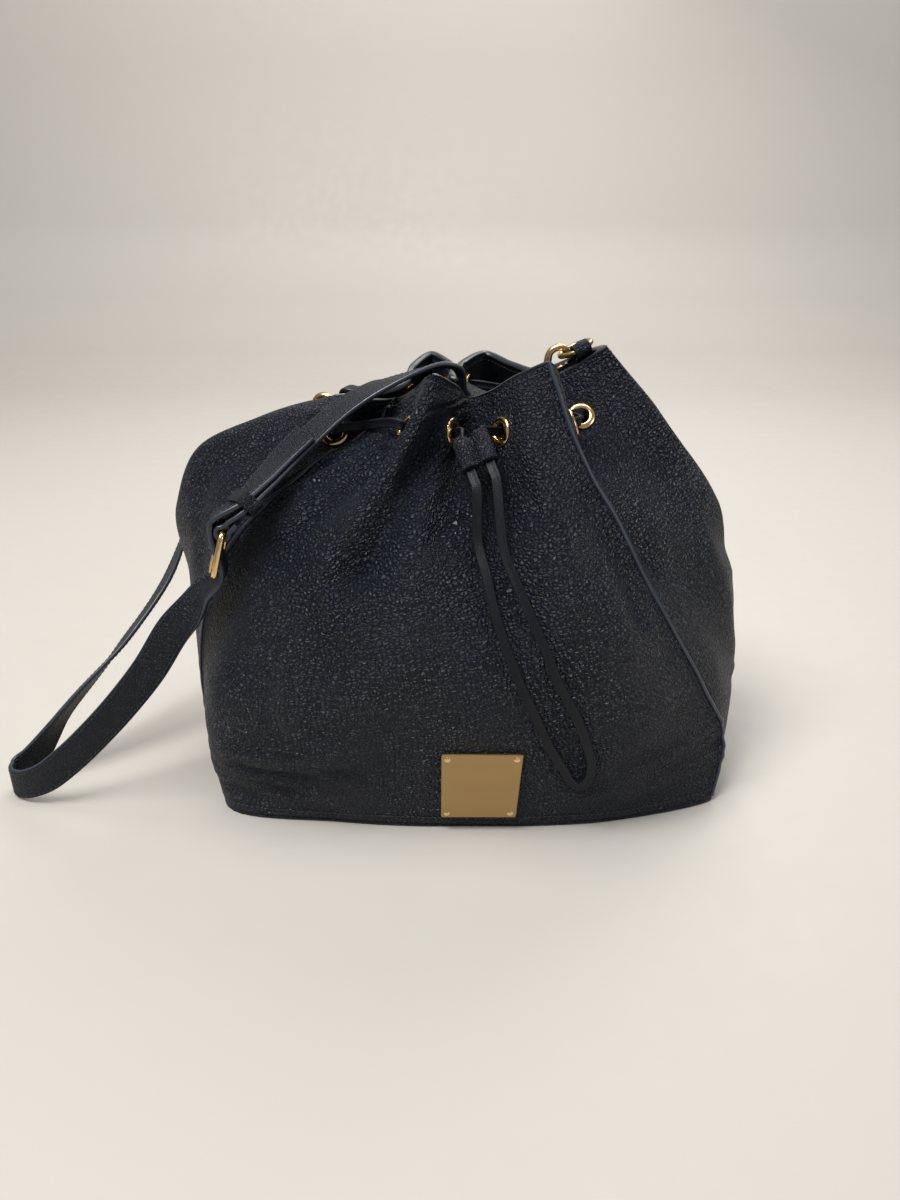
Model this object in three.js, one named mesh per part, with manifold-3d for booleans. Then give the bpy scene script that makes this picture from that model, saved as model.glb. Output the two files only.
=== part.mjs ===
// Soft drawstring bucket bag with a snap-on shoulder strap. Millimetres, +Z up,
// X to the right, Y to the back, origin on the floor under the middle of the base.
import * as THREE from 'three';
import { mergeVertices } from 'three/addons/utils/BufferGeometryUtils.js';
import Module from 'manifold-3d';

const wasm = await Module();
wasm.setup();

// ---------------------------------------------------------------- dimensions
const LEATHER = 2.2;          // body leather
const SEAM_GAP = 0.35;        // between neighbouring wall panels

// Depths of the inner layers, measured inwards from the outer face of the wall
const FACING_OUT = 2.85, FACING_IN = 3.95;
const LINING_OUT = 2.8, LINING_IN = 3.6;

const BASE_THICK = 3.0;
const BOARD_Z0 = 3.3, BOARD_Z1 = 5.5;
const BOARD_INSET = LEATHER + 1.6;
const LINING_Z0 = BOARD_Z1 + 0.4, LINING_FLOOR = 1.0;

const EYELET_R = 8.3, EYELET_BORE = 4.2, EYELET_BARREL = 5.1;
const CORD_R = 1.7;
const STRAP_W = 20, STRAP_T = 2.6;
const TAB_W = 10, TAB_T = 1.5;
const RING_R = 10, RING_WIRE = 1.5;      // centre-line radius, wire radius
const CLAW_R = 6.5, CLAW_WIRE = 2.0;     // centre-line radius, wire radius
const LOOP_WIRE = 1.6;                   // wire radius of hook eyes and buckle frame
const PLATE_T = 1.8;

// A place on the wall is (col, rise): col counts guide columns round the bag and
// rise runs from 0 at the base to 1 at the rim.
const GUIDE_RISES = [0, 0.12, 0.30, 0.50, 0.67, 0.79, 0.89, 1.0];
const PANEL_RISES = [0.0125, 0.12, 0.30, 0.42, 0.55, 0.67, 0.77, 0.85, 0.92, 1.0];
const LINING_RISES = [0.0195, 0.12, 0.30, 0.42, 0.55, 0.67, 0.77];
const FACING_RISES = [0.79, 0.85, 0.92, 0.997];

// Guide columns, counter-clockwise from above, starting at the middle of the front.
// Each holds one [x, y, z] for every guide rise.
const GUIDES = [
  // 0 to 2: front, right half
  [[0,-85,0], [0,-91,35], [0,-94,85], [-2,-86,140],
    [-4,-62,185], [-4,-30,212], [-3,-8,226], [-2,8,238]],
  [[35,-85,0], [38,-91,35], [42,-96,85], [40,-93,140],
    [30,-76,185], [20,-50,212], [14,-32,232], [10,-20,248]],
  [[85,-80,0], [90,-86,35], [88,-93,85], [74,-89,140],
    [52,-76,185], [36,-62,215], [27,-50,238], [22,-40,260]],
  // 3 to 9: right gusset with its two seams
  [[150,-60,0], [156,-50,36], [134,-58,85], [98,-63,146],
    [75,-59,190], [60,-55,213], [49,-50,236], [38,-42,267]],
  [[154,-45,0], [161,-38,36], [146,-44,88], [107,-48,150],
    [79,-42,192], [62,-36,215], [53,-30,234], [46,-22,258]],
  [[156,-30,0], [166,-24,36], [156,-26,90], [121,-30,156],
    [86,-24,195], [63,-10,216], [50,6,230], [45,22,246]],
  [[156,-10,0], [169,-6,36], [168,-10,88], [148,-14,150],
    [116,-10,190], [88,0,218], [75,8,238], [63,18,256]],
  [[152,12,0], [168,12,30], [171,14,70], [167,14,125],
    [149,12,178], [124,13,213], [103,14,238], [77,15,266]],
  [[152,32,0], [166,34,35], [168,38,80], [158,42,135],
    [130,42,182], [104,40,214], [88,40,238], [73,40,261]],
  [[146,58,0], [156,62,35], [154,66,85], [136,68,140],
    [104,64,185], [76,60,212], [57,58,230], [44,57,246]],
  // 10 to 16: back, right to left
  [[110,80,0], [118,86,35], [114,90,85], [98,94,140],
    [70,92,187], [46,82,216], [34,82,234], [28,80,246]],
  [[62,86,0], [66,92,35], [62,98,85], [52,104,140],
    [36,108,188], [22,107,216], [15,104,236], [10,99,250]],
  [[25,88,0], [26,94,35], [24,99,85], [18,102,140],
    [8,98,186], [0,86,214], [-5,84,232], [-7,81,246]],
  [[0,88,0], [0,94,35], [-1,98,85], [-4,98,140],
    [-7,88,184], [-9,70,210], [-10,54,228], [-10,42,244]],
  [[-25,88,0], [-26,94,35], [-25,99,85], [-22,102,140],
    [-16,98,186], [-12,86,214], [-12,84,232], [-12,80,246]],
  [[-62,86,0], [-66,92,35], [-64,98,85], [-58,104,140],
    [-46,107,188], [-34,105,216], [-28,101,236], [-26,96,250]],
  [[-110,80,0], [-118,86,35], [-116,90,85], [-106,94,140],
    [-82,91,185], [-56,82,213], [-44,80,231], [-39,77,245]],
  // 17 to 21: left gusset with its two seams
  [[-146,58,0], [-156,62,35], [-160,66,85], [-152,68,140],
    [-124,64,182], [-88,60,207], [-62,57,224], [-44,53,238]],
  [[-152,32,0], [-166,34,35], [-174,38,80], [-176,42,135],
    [-160,42,185], [-128,38,211], [-96,34,224], [-66,32,236]],
  [[-152,8,0], [-167,8,33], [-177,10,70], [-180,12,125],
    [-184,12,172], [-165,12,209], [-125,13,227], [-82,15,238]],
  [[-155,-20,0], [-168,-16,36], [-173,-16,88], [-170,-16,145],
    [-160,-12,185], [-132,-8,209], [-98,-3,225], [-66,2,237]],
  [[-157,-47,0], [-163,-38,36], [-165,-38,88], [-152,-40,142],
    [-128,-38,180], [-94,-25,206], [-60,-5,223], [-46,5,238]],
  // 22 to 24: front, left half
  [[-151,-67,0], [-157,-66,36], [-148,-72,88], [-116,-72,145],
    [-88,-60,184], [-56,-45,211], [-37.5,-33,232], [-31.5,-25,251]],
  [[-80,-81,0], [-84,-88,35], [-78,-94,85], [-58,-84,145],
    [-52,-72,182], [-42,-58,214], [-33,-50,236], [-23,-39,260]],
  [[-35,-85,0], [-37,-91,35], [-37,-95,85], [-34,-89,140],
    [-30,-72,185], [-22,-48.5,213], [-15.5,-33,231], [-11,-25,252]],
];
const COLUMNS = GUIDES.length;
// Tangent scale at the columns that turn more sharply: guide column -> scale
const SHARPNESS = { 3: 0.45, 7: 0.7 };
const SEAMS = { frontRight: 3, backRight: 9, backLeft: 17, frontLeft: 21.05 };

// ---------------------------------------------------------------- vectors
const vec = (x, y, z) => new THREE.Vector3(x, y, z);
const unit = (x, y, z) => vec(x, y, z).normalize();
const cross = (a, b) => a.clone().cross(b).normalize();
// the point reached by moving a distance along a direction
const move = (point, direction, distance) => point.clone().addScaledVector(direction, distance);
// unit vector left when the part of a vector along a unit axis is taken out
const squareTo = (vector, axis) => move(vector, axis, -vector.dot(axis)).normalize();
// steps + 1 values from start to end
const range = (start, end, steps) =>
  Array.from({ length: steps + 1 }, (_, i) => start + (end - start) * i / steps);
// count values round a closed span, without the repeated last one
const around = (span, count) => range(0, span, count).slice(0, count);

// ---------------------------------------------------------------- wall surface
function hermite(start, end, startSlope, endSlope, interval, s) {
  return vec(0, 0, 0)
    .addScaledVector(start, 2 * s ** 3 - 3 * s ** 2 + 1)
    .addScaledVector(startSlope, interval * (s ** 3 - 2 * s ** 2 + s))
    .addScaledVector(end, -2 * s ** 3 + 3 * s ** 2)
    .addScaledVector(endSlope, interval * (s ** 3 - s ** 2));
}
const slope = (start, end, interval) => end.clone().sub(start).divideScalar(interval);

// slope at the middle of three points with uneven spacing
function middleSlope(previous, point, next, before, after) {
  return slope(previous, point, before).multiplyScalar(after)
    .addScaledVector(slope(point, next, after), before)
    .divideScalar(after + before);
}

function findSpan(stops, value) {
  let index = 0;
  while (index < stops.length - 2 && value >= stops[index + 1]) index++;
  const interval = stops[index + 1] - stops[index];
  return { index, interval, fraction: (value - stops[index]) / interval };
}

function guidePoint(guide, rise) {
  const points = guide.map((p) => vec(...p));
  const last = points.length - 1;
  const gap = (j) => GUIDE_RISES[j + 1] - GUIDE_RISES[j];
  const slopeAt = (j) => {
    if (j === 0) return slope(points[0], points[1], gap(0));
    if (j === last) return slope(points[last - 1], points[last], gap(last - 1));
    return middleSlope(points[j - 1], points[j], points[j + 1], gap(j - 1), gap(j));
  };
  const { index: i, interval, fraction } = findSpan(GUIDE_RISES, rise);
  return hermite(points[i], points[i + 1], slopeAt(i), slopeAt(i + 1), interval, fraction);
}

const levelCache = new Map();
// closed curve round the wall at one rise: points, spacing to the next, slopes
function level(rise) {
  const key = rise.toFixed(5);
  if (!levelCache.has(key)) {
    const points = GUIDES.map((guide) => guidePoint(guide, rise));
    const spacing = points.map((p, k) =>
      Math.pow(p.distanceTo(points[(k + 1) % COLUMNS]), 0.75));
    const slopes = points.map((p, k) => {
      const before = (k + COLUMNS - 1) % COLUMNS, after = (k + 1) % COLUMNS;
      return middleSlope(points[before], p, points[after], spacing[before], spacing[k])
        .multiplyScalar(SHARPNESS[k] || 1);
    });
    levelCache.set(key, { points, spacing, slopes });
  }
  return levelCache.get(key);
}

function wallPoint(col, rise) {
  const { points, spacing, slopes } = level(rise);
  const wrapped = ((col % COLUMNS) + COLUMNS) % COLUMNS;
  const i = Math.floor(wrapped) % COLUMNS, j = (i + 1) % COLUMNS;
  const fraction = wrapped - Math.floor(wrapped);
  return hermite(points[i], points[j], slopes[i], slopes[j], spacing[i], fraction);
}

// outward normal, averaged over reach columns to either side
function wallNormal(col, rise, reach = 0.22) {
  const below = Math.max(0, rise - 0.03), above = Math.min(1, rise + 0.03);
  const sideways = wallPoint(col + reach, rise).sub(wallPoint(col - reach, rise));
  const upwards = wallPoint(col, above).sub(wallPoint(col, below));
  return cross(sideways, upwards);
}
const offWall = (col, rise, distance) =>
  move(wallPoint(col, rise), wallNormal(col, rise), distance);

// the same, but on the straight facets between the panel rises
function offFacet(col, rise, distance) {
  const { index, fraction } = findSpan(PANEL_RISES, rise);
  return offWall(col, PANEL_RISES[index], distance)
    .lerp(offWall(col, PANEL_RISES[index + 1], distance), fraction);
}

// ---------------------------------------------------------------- solids
function solid(points, triangles) {
  const geometry = new THREE.BufferGeometry();
  const coords = triangles.flat().flatMap((i) => points[i].toArray());
  geometry.setAttribute('position', new THREE.Float32BufferAttribute(coords, 3));
  return geometry;
}

function weld(geometry) {
  const bare = new THREE.BufferGeometry();
  bare.setAttribute('position', geometry.getAttribute('position'));
  bare.setIndex(geometry.index);
  return mergeVertices(bare, 1e-4);
}

function toManifold(geometry) {
  const welded = weld(geometry), corners = welded.index.array, triVerts = [];
  for (let i = 0; i < corners.length; i += 3) {
    const [a, b, c] = corners.slice(i, i + 3);
    if (a !== b && b !== c && a !== c) triVerts.push(a, b, c);
  }
  return new wasm.Manifold(new wasm.Mesh({
    numProp: 3,
    vertProperties: new Float32Array(welded.getAttribute('position').array),
    triVerts: new Uint32Array(triVerts),
  }));
}

function fromManifold(manifold) {
  const mesh = manifold.getMesh(), geometry = new THREE.BufferGeometry();
  const coords = new Float32Array(mesh.vertProperties);
  geometry.setAttribute('position', new THREE.BufferAttribute(coords, 3));
  geometry.setIndex(new THREE.BufferAttribute(new Uint32Array(mesh.triVerts), 1));
  return geometry;
}

// keeps the largest body of a cut, so a sliver never rides along
function cut(geometry, tools) {
  let body = toManifold(geometry);
  for (const tool of tools) body = body.subtract(toManifold(tool));
  const parts = body.decompose();
  parts.sort((a, b) => b.volume() - a.volume());
  return fromManifold(parts[0]);
}

function join(geometries) {
  return fromManifold(geometries.map(toManifold).reduce((sum, part) => sum.add(part)));
}

// Thick sheet between two grids of points, grid[i][j] with i round the bag and j upwards.
// closed wraps i; floor is an [outer, inner] pair of centres that turns it into a cup.
function shell(outer, inner, { closed = false, floor = null } = {}) {
  const ni = outer.length, nj = outer[0].length, triangles = [];
  const points = [...outer.flat(), ...inner.flat()];
  const id = (side, i, j) => side * ni * nj + (i % ni) * nj + j;
  const quad = (a, b, c, d) => triangles.push([a, b, c], [a, c, d]);
  const top = nj - 1, end = ni - 1, centre = points.length;
  if (floor) points.push(...floor);
  for (let i = 0; i < (closed ? ni : end); i++) {
    for (let j = 0; j < top; j++) {
      quad(id(0, i, j), id(0, i + 1, j), id(0, i + 1, j + 1), id(0, i, j + 1));
      quad(id(1, i, j), id(1, i, j + 1), id(1, i + 1, j + 1), id(1, i + 1, j));
    }
    quad(id(0, i, top), id(0, i + 1, top), id(1, i + 1, top), id(1, i, top));
    if (floor) {
      triangles.push([centre, id(0, i + 1, 0), id(0, i, 0)]);
      triangles.push([centre + 1, id(1, i, 0), id(1, i + 1, 0)]);
    } else {
      quad(id(0, i + 1, 0), id(0, i, 0), id(1, i, 0), id(1, i + 1, 0));
    }
  }
  if (!closed) {
    for (let j = 0; j < top; j++) {
      quad(id(0, 0, j), id(0, 0, j + 1), id(1, 0, j + 1), id(1, 0, j));
      quad(id(0, end, j + 1), id(0, end, j), id(1, end, j), id(1, end, j + 1));
    }
  }
  return solid(points, triangles);
}

// flat slab with a closed outline (counter-clockwise seen from above)
function slab(outline, z0, z1) {
  const n = outline.length, triangles = [];
  const mean = (axis) => outline.reduce((sum, p) => sum + p[axis], 0) / n;
  const points = [
    ...outline.map((p) => vec(p.x, p.y, z0)),
    ...outline.map((p) => vec(p.x, p.y, z1)),
    vec(mean('x'), mean('y'), z0),
    vec(mean('x'), mean('y'), z1),
  ];
  for (let i = 0; i < n; i++) {
    const j = (i + 1) % n;
    triangles.push([i, j, n + j], [i, n + j, n + i], [2 * n, j, i], [2 * n + 1, n + i, n + j]);
  }
  return solid(points, triangles);
}

// turns the frames of a closed path so that the last one meets the first
function spreadTwist(frames, tangents) {
  const first = frames[0][0], last = squareTo(frames[frames.length - 1][0], tangents[0]);
  const twist = Math.atan2(last.clone().cross(first).dot(tangents[0]), last.dot(first));
  frames.forEach((frame, i) => {
    const turn = new THREE.Quaternion().setFromAxisAngle(tangents[i], twist * i / frames.length);
    frame.forEach((axis) => axis.applyQuaternion(turn));
  });
}

// Sweeps a section of [along side, along side's perpendicular] pairs through a path.
// Side vectors are carried along the path unless they are given.
function sweep(path, section, { closed = false, sides = null } = {}) {
  const n = path.length, m = section.length, points = [], triangles = [];
  const tangents = path.map((_, i) => {
    const before = closed ? path[(i + n - 1) % n] : path[Math.max(0, i - 1)];
    const after = closed ? path[(i + 1) % n] : path[Math.min(n - 1, i + 1)];
    return after.clone().sub(before).normalize();
  });
  let side = Math.abs(tangents[0].z) < 0.8 ? vec(0, 0, 1) : vec(1, 0, 0);
  const frames = tangents.map((tangent, i) => {
    side = squareTo(sides ? sides[i] : side, tangent);
    return [side.clone(), cross(tangent, side)];
  });
  if (closed && !sides) spreadTwist(frames, tangents);
  path.forEach((p, i) => section.forEach(([x, y]) =>
    points.push(move(move(p, frames[i][0], x), frames[i][1], y))));

  for (let i = 0; i < (closed ? n : n - 1); i++) {
    const here = i * m, next = ((i + 1) % n) * m;
    for (let k = 0; k < m; k++) {
      const l = (k + 1) % m;
      triangles.push([here + k, here + l, next + l], [here + k, next + l, next + k]);
    }
  }
  if (!closed) {
    const end = (n - 1) * m;
    points.push(path[0], path[n - 1]);
    for (let k = 0; k < m; k++) {
      const l = (k + 1) % m;
      triangles.push([n * m, l, k], [n * m + 1, end + k, end + l]);
    }
  }
  return solid(points, triangles);
}

// round wire through the given points
function tube(points, radius, segments, steps, closed = false) {
  const path = new THREE.CatmullRomCurve3(points, closed, 'centripetal').getPoints(steps);
  if (closed) path.pop();
  const section = around(2 * Math.PI, segments)
    .map((angle) => [radius * Math.cos(angle), radius * Math.sin(angle)]);
  return sweep(path, section, { closed });
}

// A ribbon station is a point and the direction of the width there.
const station = (point, across) => ({ point, across });
const readStations = (rows) =>
  rows.map(([x, y, z, ...across]) => station(vec(x, y, z), unit(...across)));
const RIBBON_STEPS = 2;       // pieces between two stations

function ribbon(stations, width, thickness) {
  const curve = new THREE.CatmullRomCurve3(
    stations.map(({ point }) => point), false, 'centripetal');
  const count = (stations.length - 1) * RIBBON_STEPS, path = [], sides = [];
  for (let i = 0; i <= count; i++) {
    const k = Math.min(stations.length - 2, Math.floor(i / RIBBON_STEPS));
    path.push(curve.getPoint(i / count));
    sides.push(stations[k].across.clone()
      .lerp(stations[k + 1].across, i / RIBBON_STEPS - k).normalize());
  }
  const w = width / 2, t = thickness / 2;
  return sweep(path, [[w, -t], [w, t], [-w, t], [-w, -t]], { sides });
}

// [radius, height] profile turned about an axis through a point
function turned(profile, point, axis, segments) {
  const outline = profile.map(([radius, height]) => new THREE.Vector2(radius, height));
  const geometry = new THREE.LatheGeometry(outline, segments);
  const turn = new THREE.Quaternion().setFromUnitVectors(vec(0, 1, 0), axis);
  geometry.applyQuaternion(turn);
  geometry.translate(point.x, point.y, point.z);
  return geometry;
}
const rod = (point, axis, radius, from, to, segments) =>
  turned([[0, from], [radius, from], [radius, to], [0, to]], point, axis, segments);

// places a geometry with its X, Y, Z along the three axes
function place(geometry, centre, axes) {
  return geometry.applyMatrix4(new THREE.Matrix4().makeBasis(...axes).setPosition(centre));
}
const box = (centre, axes, size) => place(new THREE.BoxGeometry(...size), centre, axes);

function ball(centre, radius) {
  return new THREE.SphereGeometry(radius, 10, 6).translate(centre.x, centre.y, centre.z);
}

// ---------------------------------------------------------------- materials
const material = (color, metalness) =>
  new THREE.MeshStandardMaterial({ color, metalness, roughness: 0.6 });
const MATERIALS = {
  leather: material(0x1c2436, 0),
  lining: material(0x2a2a30, 0),
  gold: material(0xc9a46a, 1),
  plate: material(0x9c7a4a, 1),
  cord: material(0x171d2b, 0),
  board: material(0x35302c, 0),
};

const group = new THREE.Group();
function add(name, geometry, materialName) {
  const welded = weld(geometry);
  welded.computeVertexNormals();
  const mesh = new THREE.Mesh(welded, MATERIALS[materialName]);
  mesh.name = name;
  group.add(mesh);
}

// ---------------------------------------------------------------- eyelets
// name, col, rise, height of the cord over the outer face where it comes out
const EYELETS = [
  ['front_right', 0.95, 0.87, 4.2],
  ['crest_right', 4.0, 0.88, 4.2],
  ['gusset_right_front', 5.45, 0.855, 4.2],
  ['gusset_right_back', 8.0, 0.885, 4.2],
  ['back_right_outer', 10.0, 0.88, 4.2],
  ['back_right_inner', 12.0, 0.88, 3],
  ['back_left_inner', 14.0, 0.88, 3],
  ['back_left_outer', 16.0, 0.88, 4.2],
  ['gusset_left_back', 18.0, 0.88, 4.2],
  ['gusset_left_front', 20.6, 0.87, 4.2],
  ['crest_left', 22.1, 0.88, 4.2],
  ['front_left', 24.35, 0.87, 4.2],
].map(([name, col, rise, cordHeight]) =>
  ({ name, cordHeight, point: wallPoint(col, rise), normal: wallNormal(col, rise, 0.35) }));

const eyeletBore = ({ point, normal }) => rod(point, normal, EYELET_BARREL + 0.35, -9, 9, 12);
// each wall cut is a bore and a shallow seat under the eyelet flange
const wallCuts = EYELETS.flatMap((eyelet) => [
  eyeletBore(eyelet),
  rod(eyelet.point, eyelet.normal, EYELET_R + 0.5, -0.3, 8, 12),
]);
const facingCuts = EYELETS.flatMap((eyelet) => [
  eyeletBore(eyelet),
  rod(eyelet.point, eyelet.normal, 7.4, -12, -FACING_IN, 10),
]);

function addEyelet({ name, point, normal }) {
  const eyelet = [
    [EYELET_BORE, -5.6], [6.4, -5.6], [EYELET_BARREL, -4.9], [EYELET_BARREL, 0],
    [EYELET_R, 0], [EYELET_R - 1.2, 1.2], [EYELET_BORE, 0.9], [EYELET_BORE, -5.6],
  ];
  const hole = EYELET_BARREL + 0.3, rim = 7.0, low = -4.7, high = -4.0;
  const washer = [[hole, low], [rim, low], [rim, high], [hole, high], [hole, low]];
  add('eyelet_' + name, turned(eyelet, point, normal, 12), 'gold');
  add('washer_' + name, turned(washer, point, normal, 10), 'gold');
}

// ---------------------------------------------------------------- front plate
const plateNormal = wallNormal(0.12, 0.12, 0.8).setX(0).normalize();
const plateRight = vec(1, 0, 0);
const plateUp = cross(plateNormal, plateRight);
const plateCentre = move(offWall(0.12, 0.118, 0), plateNormal, 0.25 + PLATE_T / 2);
// [right, up] from the plate centre
const PLATE_CORNERS = [[-23.5, -24.5], [21.0, -24.5], [23.5, 24.5], [-23.0, 24.5]];
const PLATE_PINS = [[-20, -21], [17.5, -21], [20, 21], [-19.5, 21]];

function platePrism(margin, thickness) {
  const outline = PLATE_CORNERS.map(([x, y]) =>
    new THREE.Vector2(x + Math.sign(x) * margin, y + Math.sign(y) * margin));
  const prism = new THREE.ExtrudeGeometry(new THREE.Shape(outline),
    { depth: thickness, bevelEnabled: false });
  prism.translate(0, 0, -thickness / 2);
  return place(prism, plateCentre, [plateRight, plateUp, plateNormal]);
}
const pinPoints = PLATE_PINS.map(([x, y]) =>
  move(move(plateCentre, plateRight, x), plateUp, y));
const pinHoles = pinPoints.map((point) => rod(point, plateNormal, 1.1, -6, 4, 10));

function platePin(point) {
  const face = PLATE_T / 2;
  const profile = [
    [0, -4], [0.8, -4], [0.8, face + 0.3], [1.6, face + 0.3], [1.2, face + 0.9],
    [0, face + 1.1],
  ];
  return turned(profile, point, plateNormal, 10);
}

// ---------------------------------------------------------------- body
// wall panel between two cols, its edges pulled in by half the seam gap
function wallPanel(from, to) {
  const first = Math.floor(from * 3 + 1e-6) / 3, margin = 0.12, cols = [from];
  for (let k = 1; first + k / 3 < to - margin; k++) {
    const col = first + k / 3;
    if (col > from + margin) cols.push(col);
  }
  cols.push(to);
  const sheet = (offset) => cols.map((col) => PANEL_RISES.map((rise) => {
    const inward = col === from ? 1 : col === to ? -1 : 0;
    const mmPerCol = wallPoint(col + 0.05, rise).distanceTo(wallPoint(col - 0.05, rise)) / 0.1;
    const edge = wallPoint(col + inward * 0.5 * SEAM_GAP / mmPerCol, rise);
    return move(edge, wallNormal(col, rise), offset);
  }));
  return shell(sheet(0), sheet(-LEATHER));
}

const RING_COLS = around(COLUMNS, 75);

const basePanel = () => slab(RING_COLS.map((col) => wallPoint(col, 0.008)), 0, BASE_THICK);
const baseBoard = () =>
  slab(around(COLUMNS, 50).map((col) => offWall(col, 0.012, -BOARD_INSET)), BOARD_Z0, BOARD_Z1);

// cup with a flat floor; its lowest row is drawn in a little further
function lining() {
  const sheet = (depth, floorZ) => RING_COLS.map((col) => LINING_RISES.map((rise, j) =>
    j ? offFacet(col, rise, -depth) : offFacet(col, rise, -depth - 0.6).setZ(floorZ)));
  const innerZ = LINING_Z0 + LINING_FLOOR;
  return shell(sheet(LINING_OUT, LINING_Z0), sheet(LINING_IN, innerZ),
    { closed: true, floor: [vec(0, 5, LINING_Z0), vec(0, 5, innerZ)] });
}

function rimFacing() {
  const sheet = (depth) =>
    RING_COLS.map((col) => FACING_RISES.map((rise) => offFacet(col, rise, -depth)));
  return cut(shell(sheet(FACING_OUT), sheet(FACING_IN), { closed: true }), facingCuts);
}

// ---------------------------------------------------------------- drawstring
const sliderDown = unit(0.286, -0.729, -0.625);
const sliderAcross = unit(0.902, -0.01, 0.43);
const sliderCentre = move(vec(0, -49.5, 221), cross(sliderDown, sliderAcross), 1.0);
const SLIDER_LENGTH = 19, SLIDER_HOLE = 5.6;   // hole distance from the middle
const CORD_LIFT = 11;                          // cord ends above the slider centre
const sliderHoles = {
  left: move(sliderCentre, sliderAcross, -SLIDER_HOLE),
  right: move(sliderCentre, sliderAcross, SLIDER_HOLE),
};
const cordEnds = {
  left: move(sliderHoles.left, sliderDown, -CORD_LIFT),
  right: move(sliderHoles.right, sliderDown, -CORD_LIFT),
};
// where the rim cord passes outside the wall: index of the eyelet before it -> [col, rise, offset]
const CORD_BRIDGES = {
  1: [4.6, 0.88, 5.0],
  3: [9.0, 0.88, 4.5],
  7: [17.0, 0.87, 2.3],
  9: [21.0, 0.88, 4.5],
};
// the hanging loop on the front wall, down its left run and up its right: [col, rise, offset]
const PULL_LOOP = [
  [0.22, 0.62, 3.4], [0.30, 0.55, 3.2], [0.45, 0.44, 3], [0.60, 0.37, 3], [0.80, 0.30, 3],
  [1.05, 0.22, 3], [1.25, 0.16, 3], [1.38, 0.125, 3], [1.47, 0.118, 3], [1.54, 0.14, 3],
  [1.53, 0.18, 3], [1.45, 0.23, 3], [1.30, 0.30, 3], [1.05, 0.38, 3], [0.90, 0.45, 3],
  [0.75, 0.51, 3.2], [0.62, 0.57, 3.4],
];

// runs in and out through pairs of eyelets, from the right cord end round to the left
function rimCord() {
  const outside = ({ point, normal, cordHeight }) => move(point, normal, cordHeight);
  const inside = ({ point, normal }) => move(point, normal, -7);
  const lead = (end, eyelet) => {
    const direction = outside(eyelet).sub(end).normalize();
    return [CORD_R + 0.35, 4.5].map((distance) => move(end, direction, distance));
  };
  const points = lead(cordEnds.right, EYELETS[0]);
  for (let i = 0; i < EYELETS.length; i += 2) {
    const entry = EYELETS[i], exit = EYELETS[i + 1], bridge = CORD_BRIDGES[i + 1];
    points.push(outside(entry), entry.point, inside(entry));
    points.push(inside(exit), exit.point, outside(exit));
    if (bridge) points.push(offWall(...bridge));
  }
  points.push(...lead(cordEnds.left, EYELETS[EYELETS.length - 1]).reverse());
  return tube(points, CORD_R, 6, 130);
}

function pullCord() {
  const run = (side) => [cordEnds[side],
    ...[-8, 0, 10.5, 22].map((distance) => move(sliderHoles[side], sliderDown, distance))];
  const loop = PULL_LOOP.map((place) => offWall(...place));
  const points = [...run('left'), ...loop, ...run('right').reverse()];
  const endRadius = CORD_R * 0.995;
  return join([
    tube(points, CORD_R, 7, 64),
    ball(cordEnds.left, endRadius),
    ball(cordEnds.right, endRadius),
  ]);
}

function cordSlider() {
  // waisted section: [across, thickness]
  const section = [
    [-9.3, 0], [-8.6, -2.6], [-6.6, -3.7], [-4, -3.4], [0, -2.4], [4, -3.4], [6.6, -3.7],
    [8.6, -2.6], [9.3, 0], [8.6, 2.6], [6.6, 3.7], [4, 3.4], [0, 2.4], [-4, 3.4],
    [-6.6, 3.7], [-8.6, 2.6],
  ];
  const path = range(-SLIDER_LENGTH / 2, SLIDER_LENGTH / 2, 2)
    .map((distance) => move(sliderCentre, sliderDown, distance));
  const body = sweep(path, section, { sides: path.map(() => sliderAcross) });
  const holes = [sliderHoles.left, sliderHoles.right]
    .map((hole) => rod(hole, sliderDown, CORD_R + 0.4, -15, 15, 12));
  return cut(body, holes);
}

// ---------------------------------------------------------------- snap hooks and rings
// toStrap points from the claw centre to the strap, arcSide to the closed side of the claw;
// ringOut points from the claw to the ring centre, ringFace along the ring's axis.
function hookFrame({ claw, toStrap, arcSide, ringOut, ringFace }) {
  const side = squareTo(arcSide, toStrap), across = cross(toStrap, side);
  const clawAt = (degrees, radius = CLAW_R) => {
    const angle = degrees * Math.PI / 180;
    return move(move(claw, toStrap, radius * Math.cos(angle)), side, radius * Math.sin(angle));
  };
  const eyeBase = move(claw, toStrap, 17.4);
  const eyeAt = (x, y) => move(move(eyeBase, toStrap, x), across, y);
  const ringNormal = squareTo(ringFace, ringOut);
  return {
    claw, toStrap, side, across, clawAt, eyeBase, eyeAt,
    gatePivot: clawAt(330, 7.6),
    strapBar: eyeAt(12.5, 0),
    ringOut, ringNormal,
    ringSide: cross(ringNormal, ringOut),
    ringCentre: move(clawAt(150, 1.5), ringOut, RING_R),
  };
}

function hookClaw({ claw, toStrap, side, across, clawAt, gatePivot }) {
  const arc = [move(claw, toStrap, 13), clawAt(4, 8.5), clawAt(25, 7.1)];
  for (let degrees = 50; degrees <= 232; degrees += 26) arc.push(clawAt(degrees));
  const collar = [[0, 9], [2.6, 9], [3.4, 11.5], [3.4, 15.5], [2.6, 17], [0, 17]];
  const lugCentre = move(move(claw, toStrap, 9.8), side, -2.2);
  const body = join([
    join([tube(arc, CLAW_WIRE, 8, 22), turned(collar, claw, toStrap, 12)]),
    box(lugCentre, [toStrap, side, across], [4.5, 3.5, 3.4]),
  ]);
  return cut(body, [rod(gatePivot, across, 2.25, -3, 3, 12)]);
}

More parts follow.
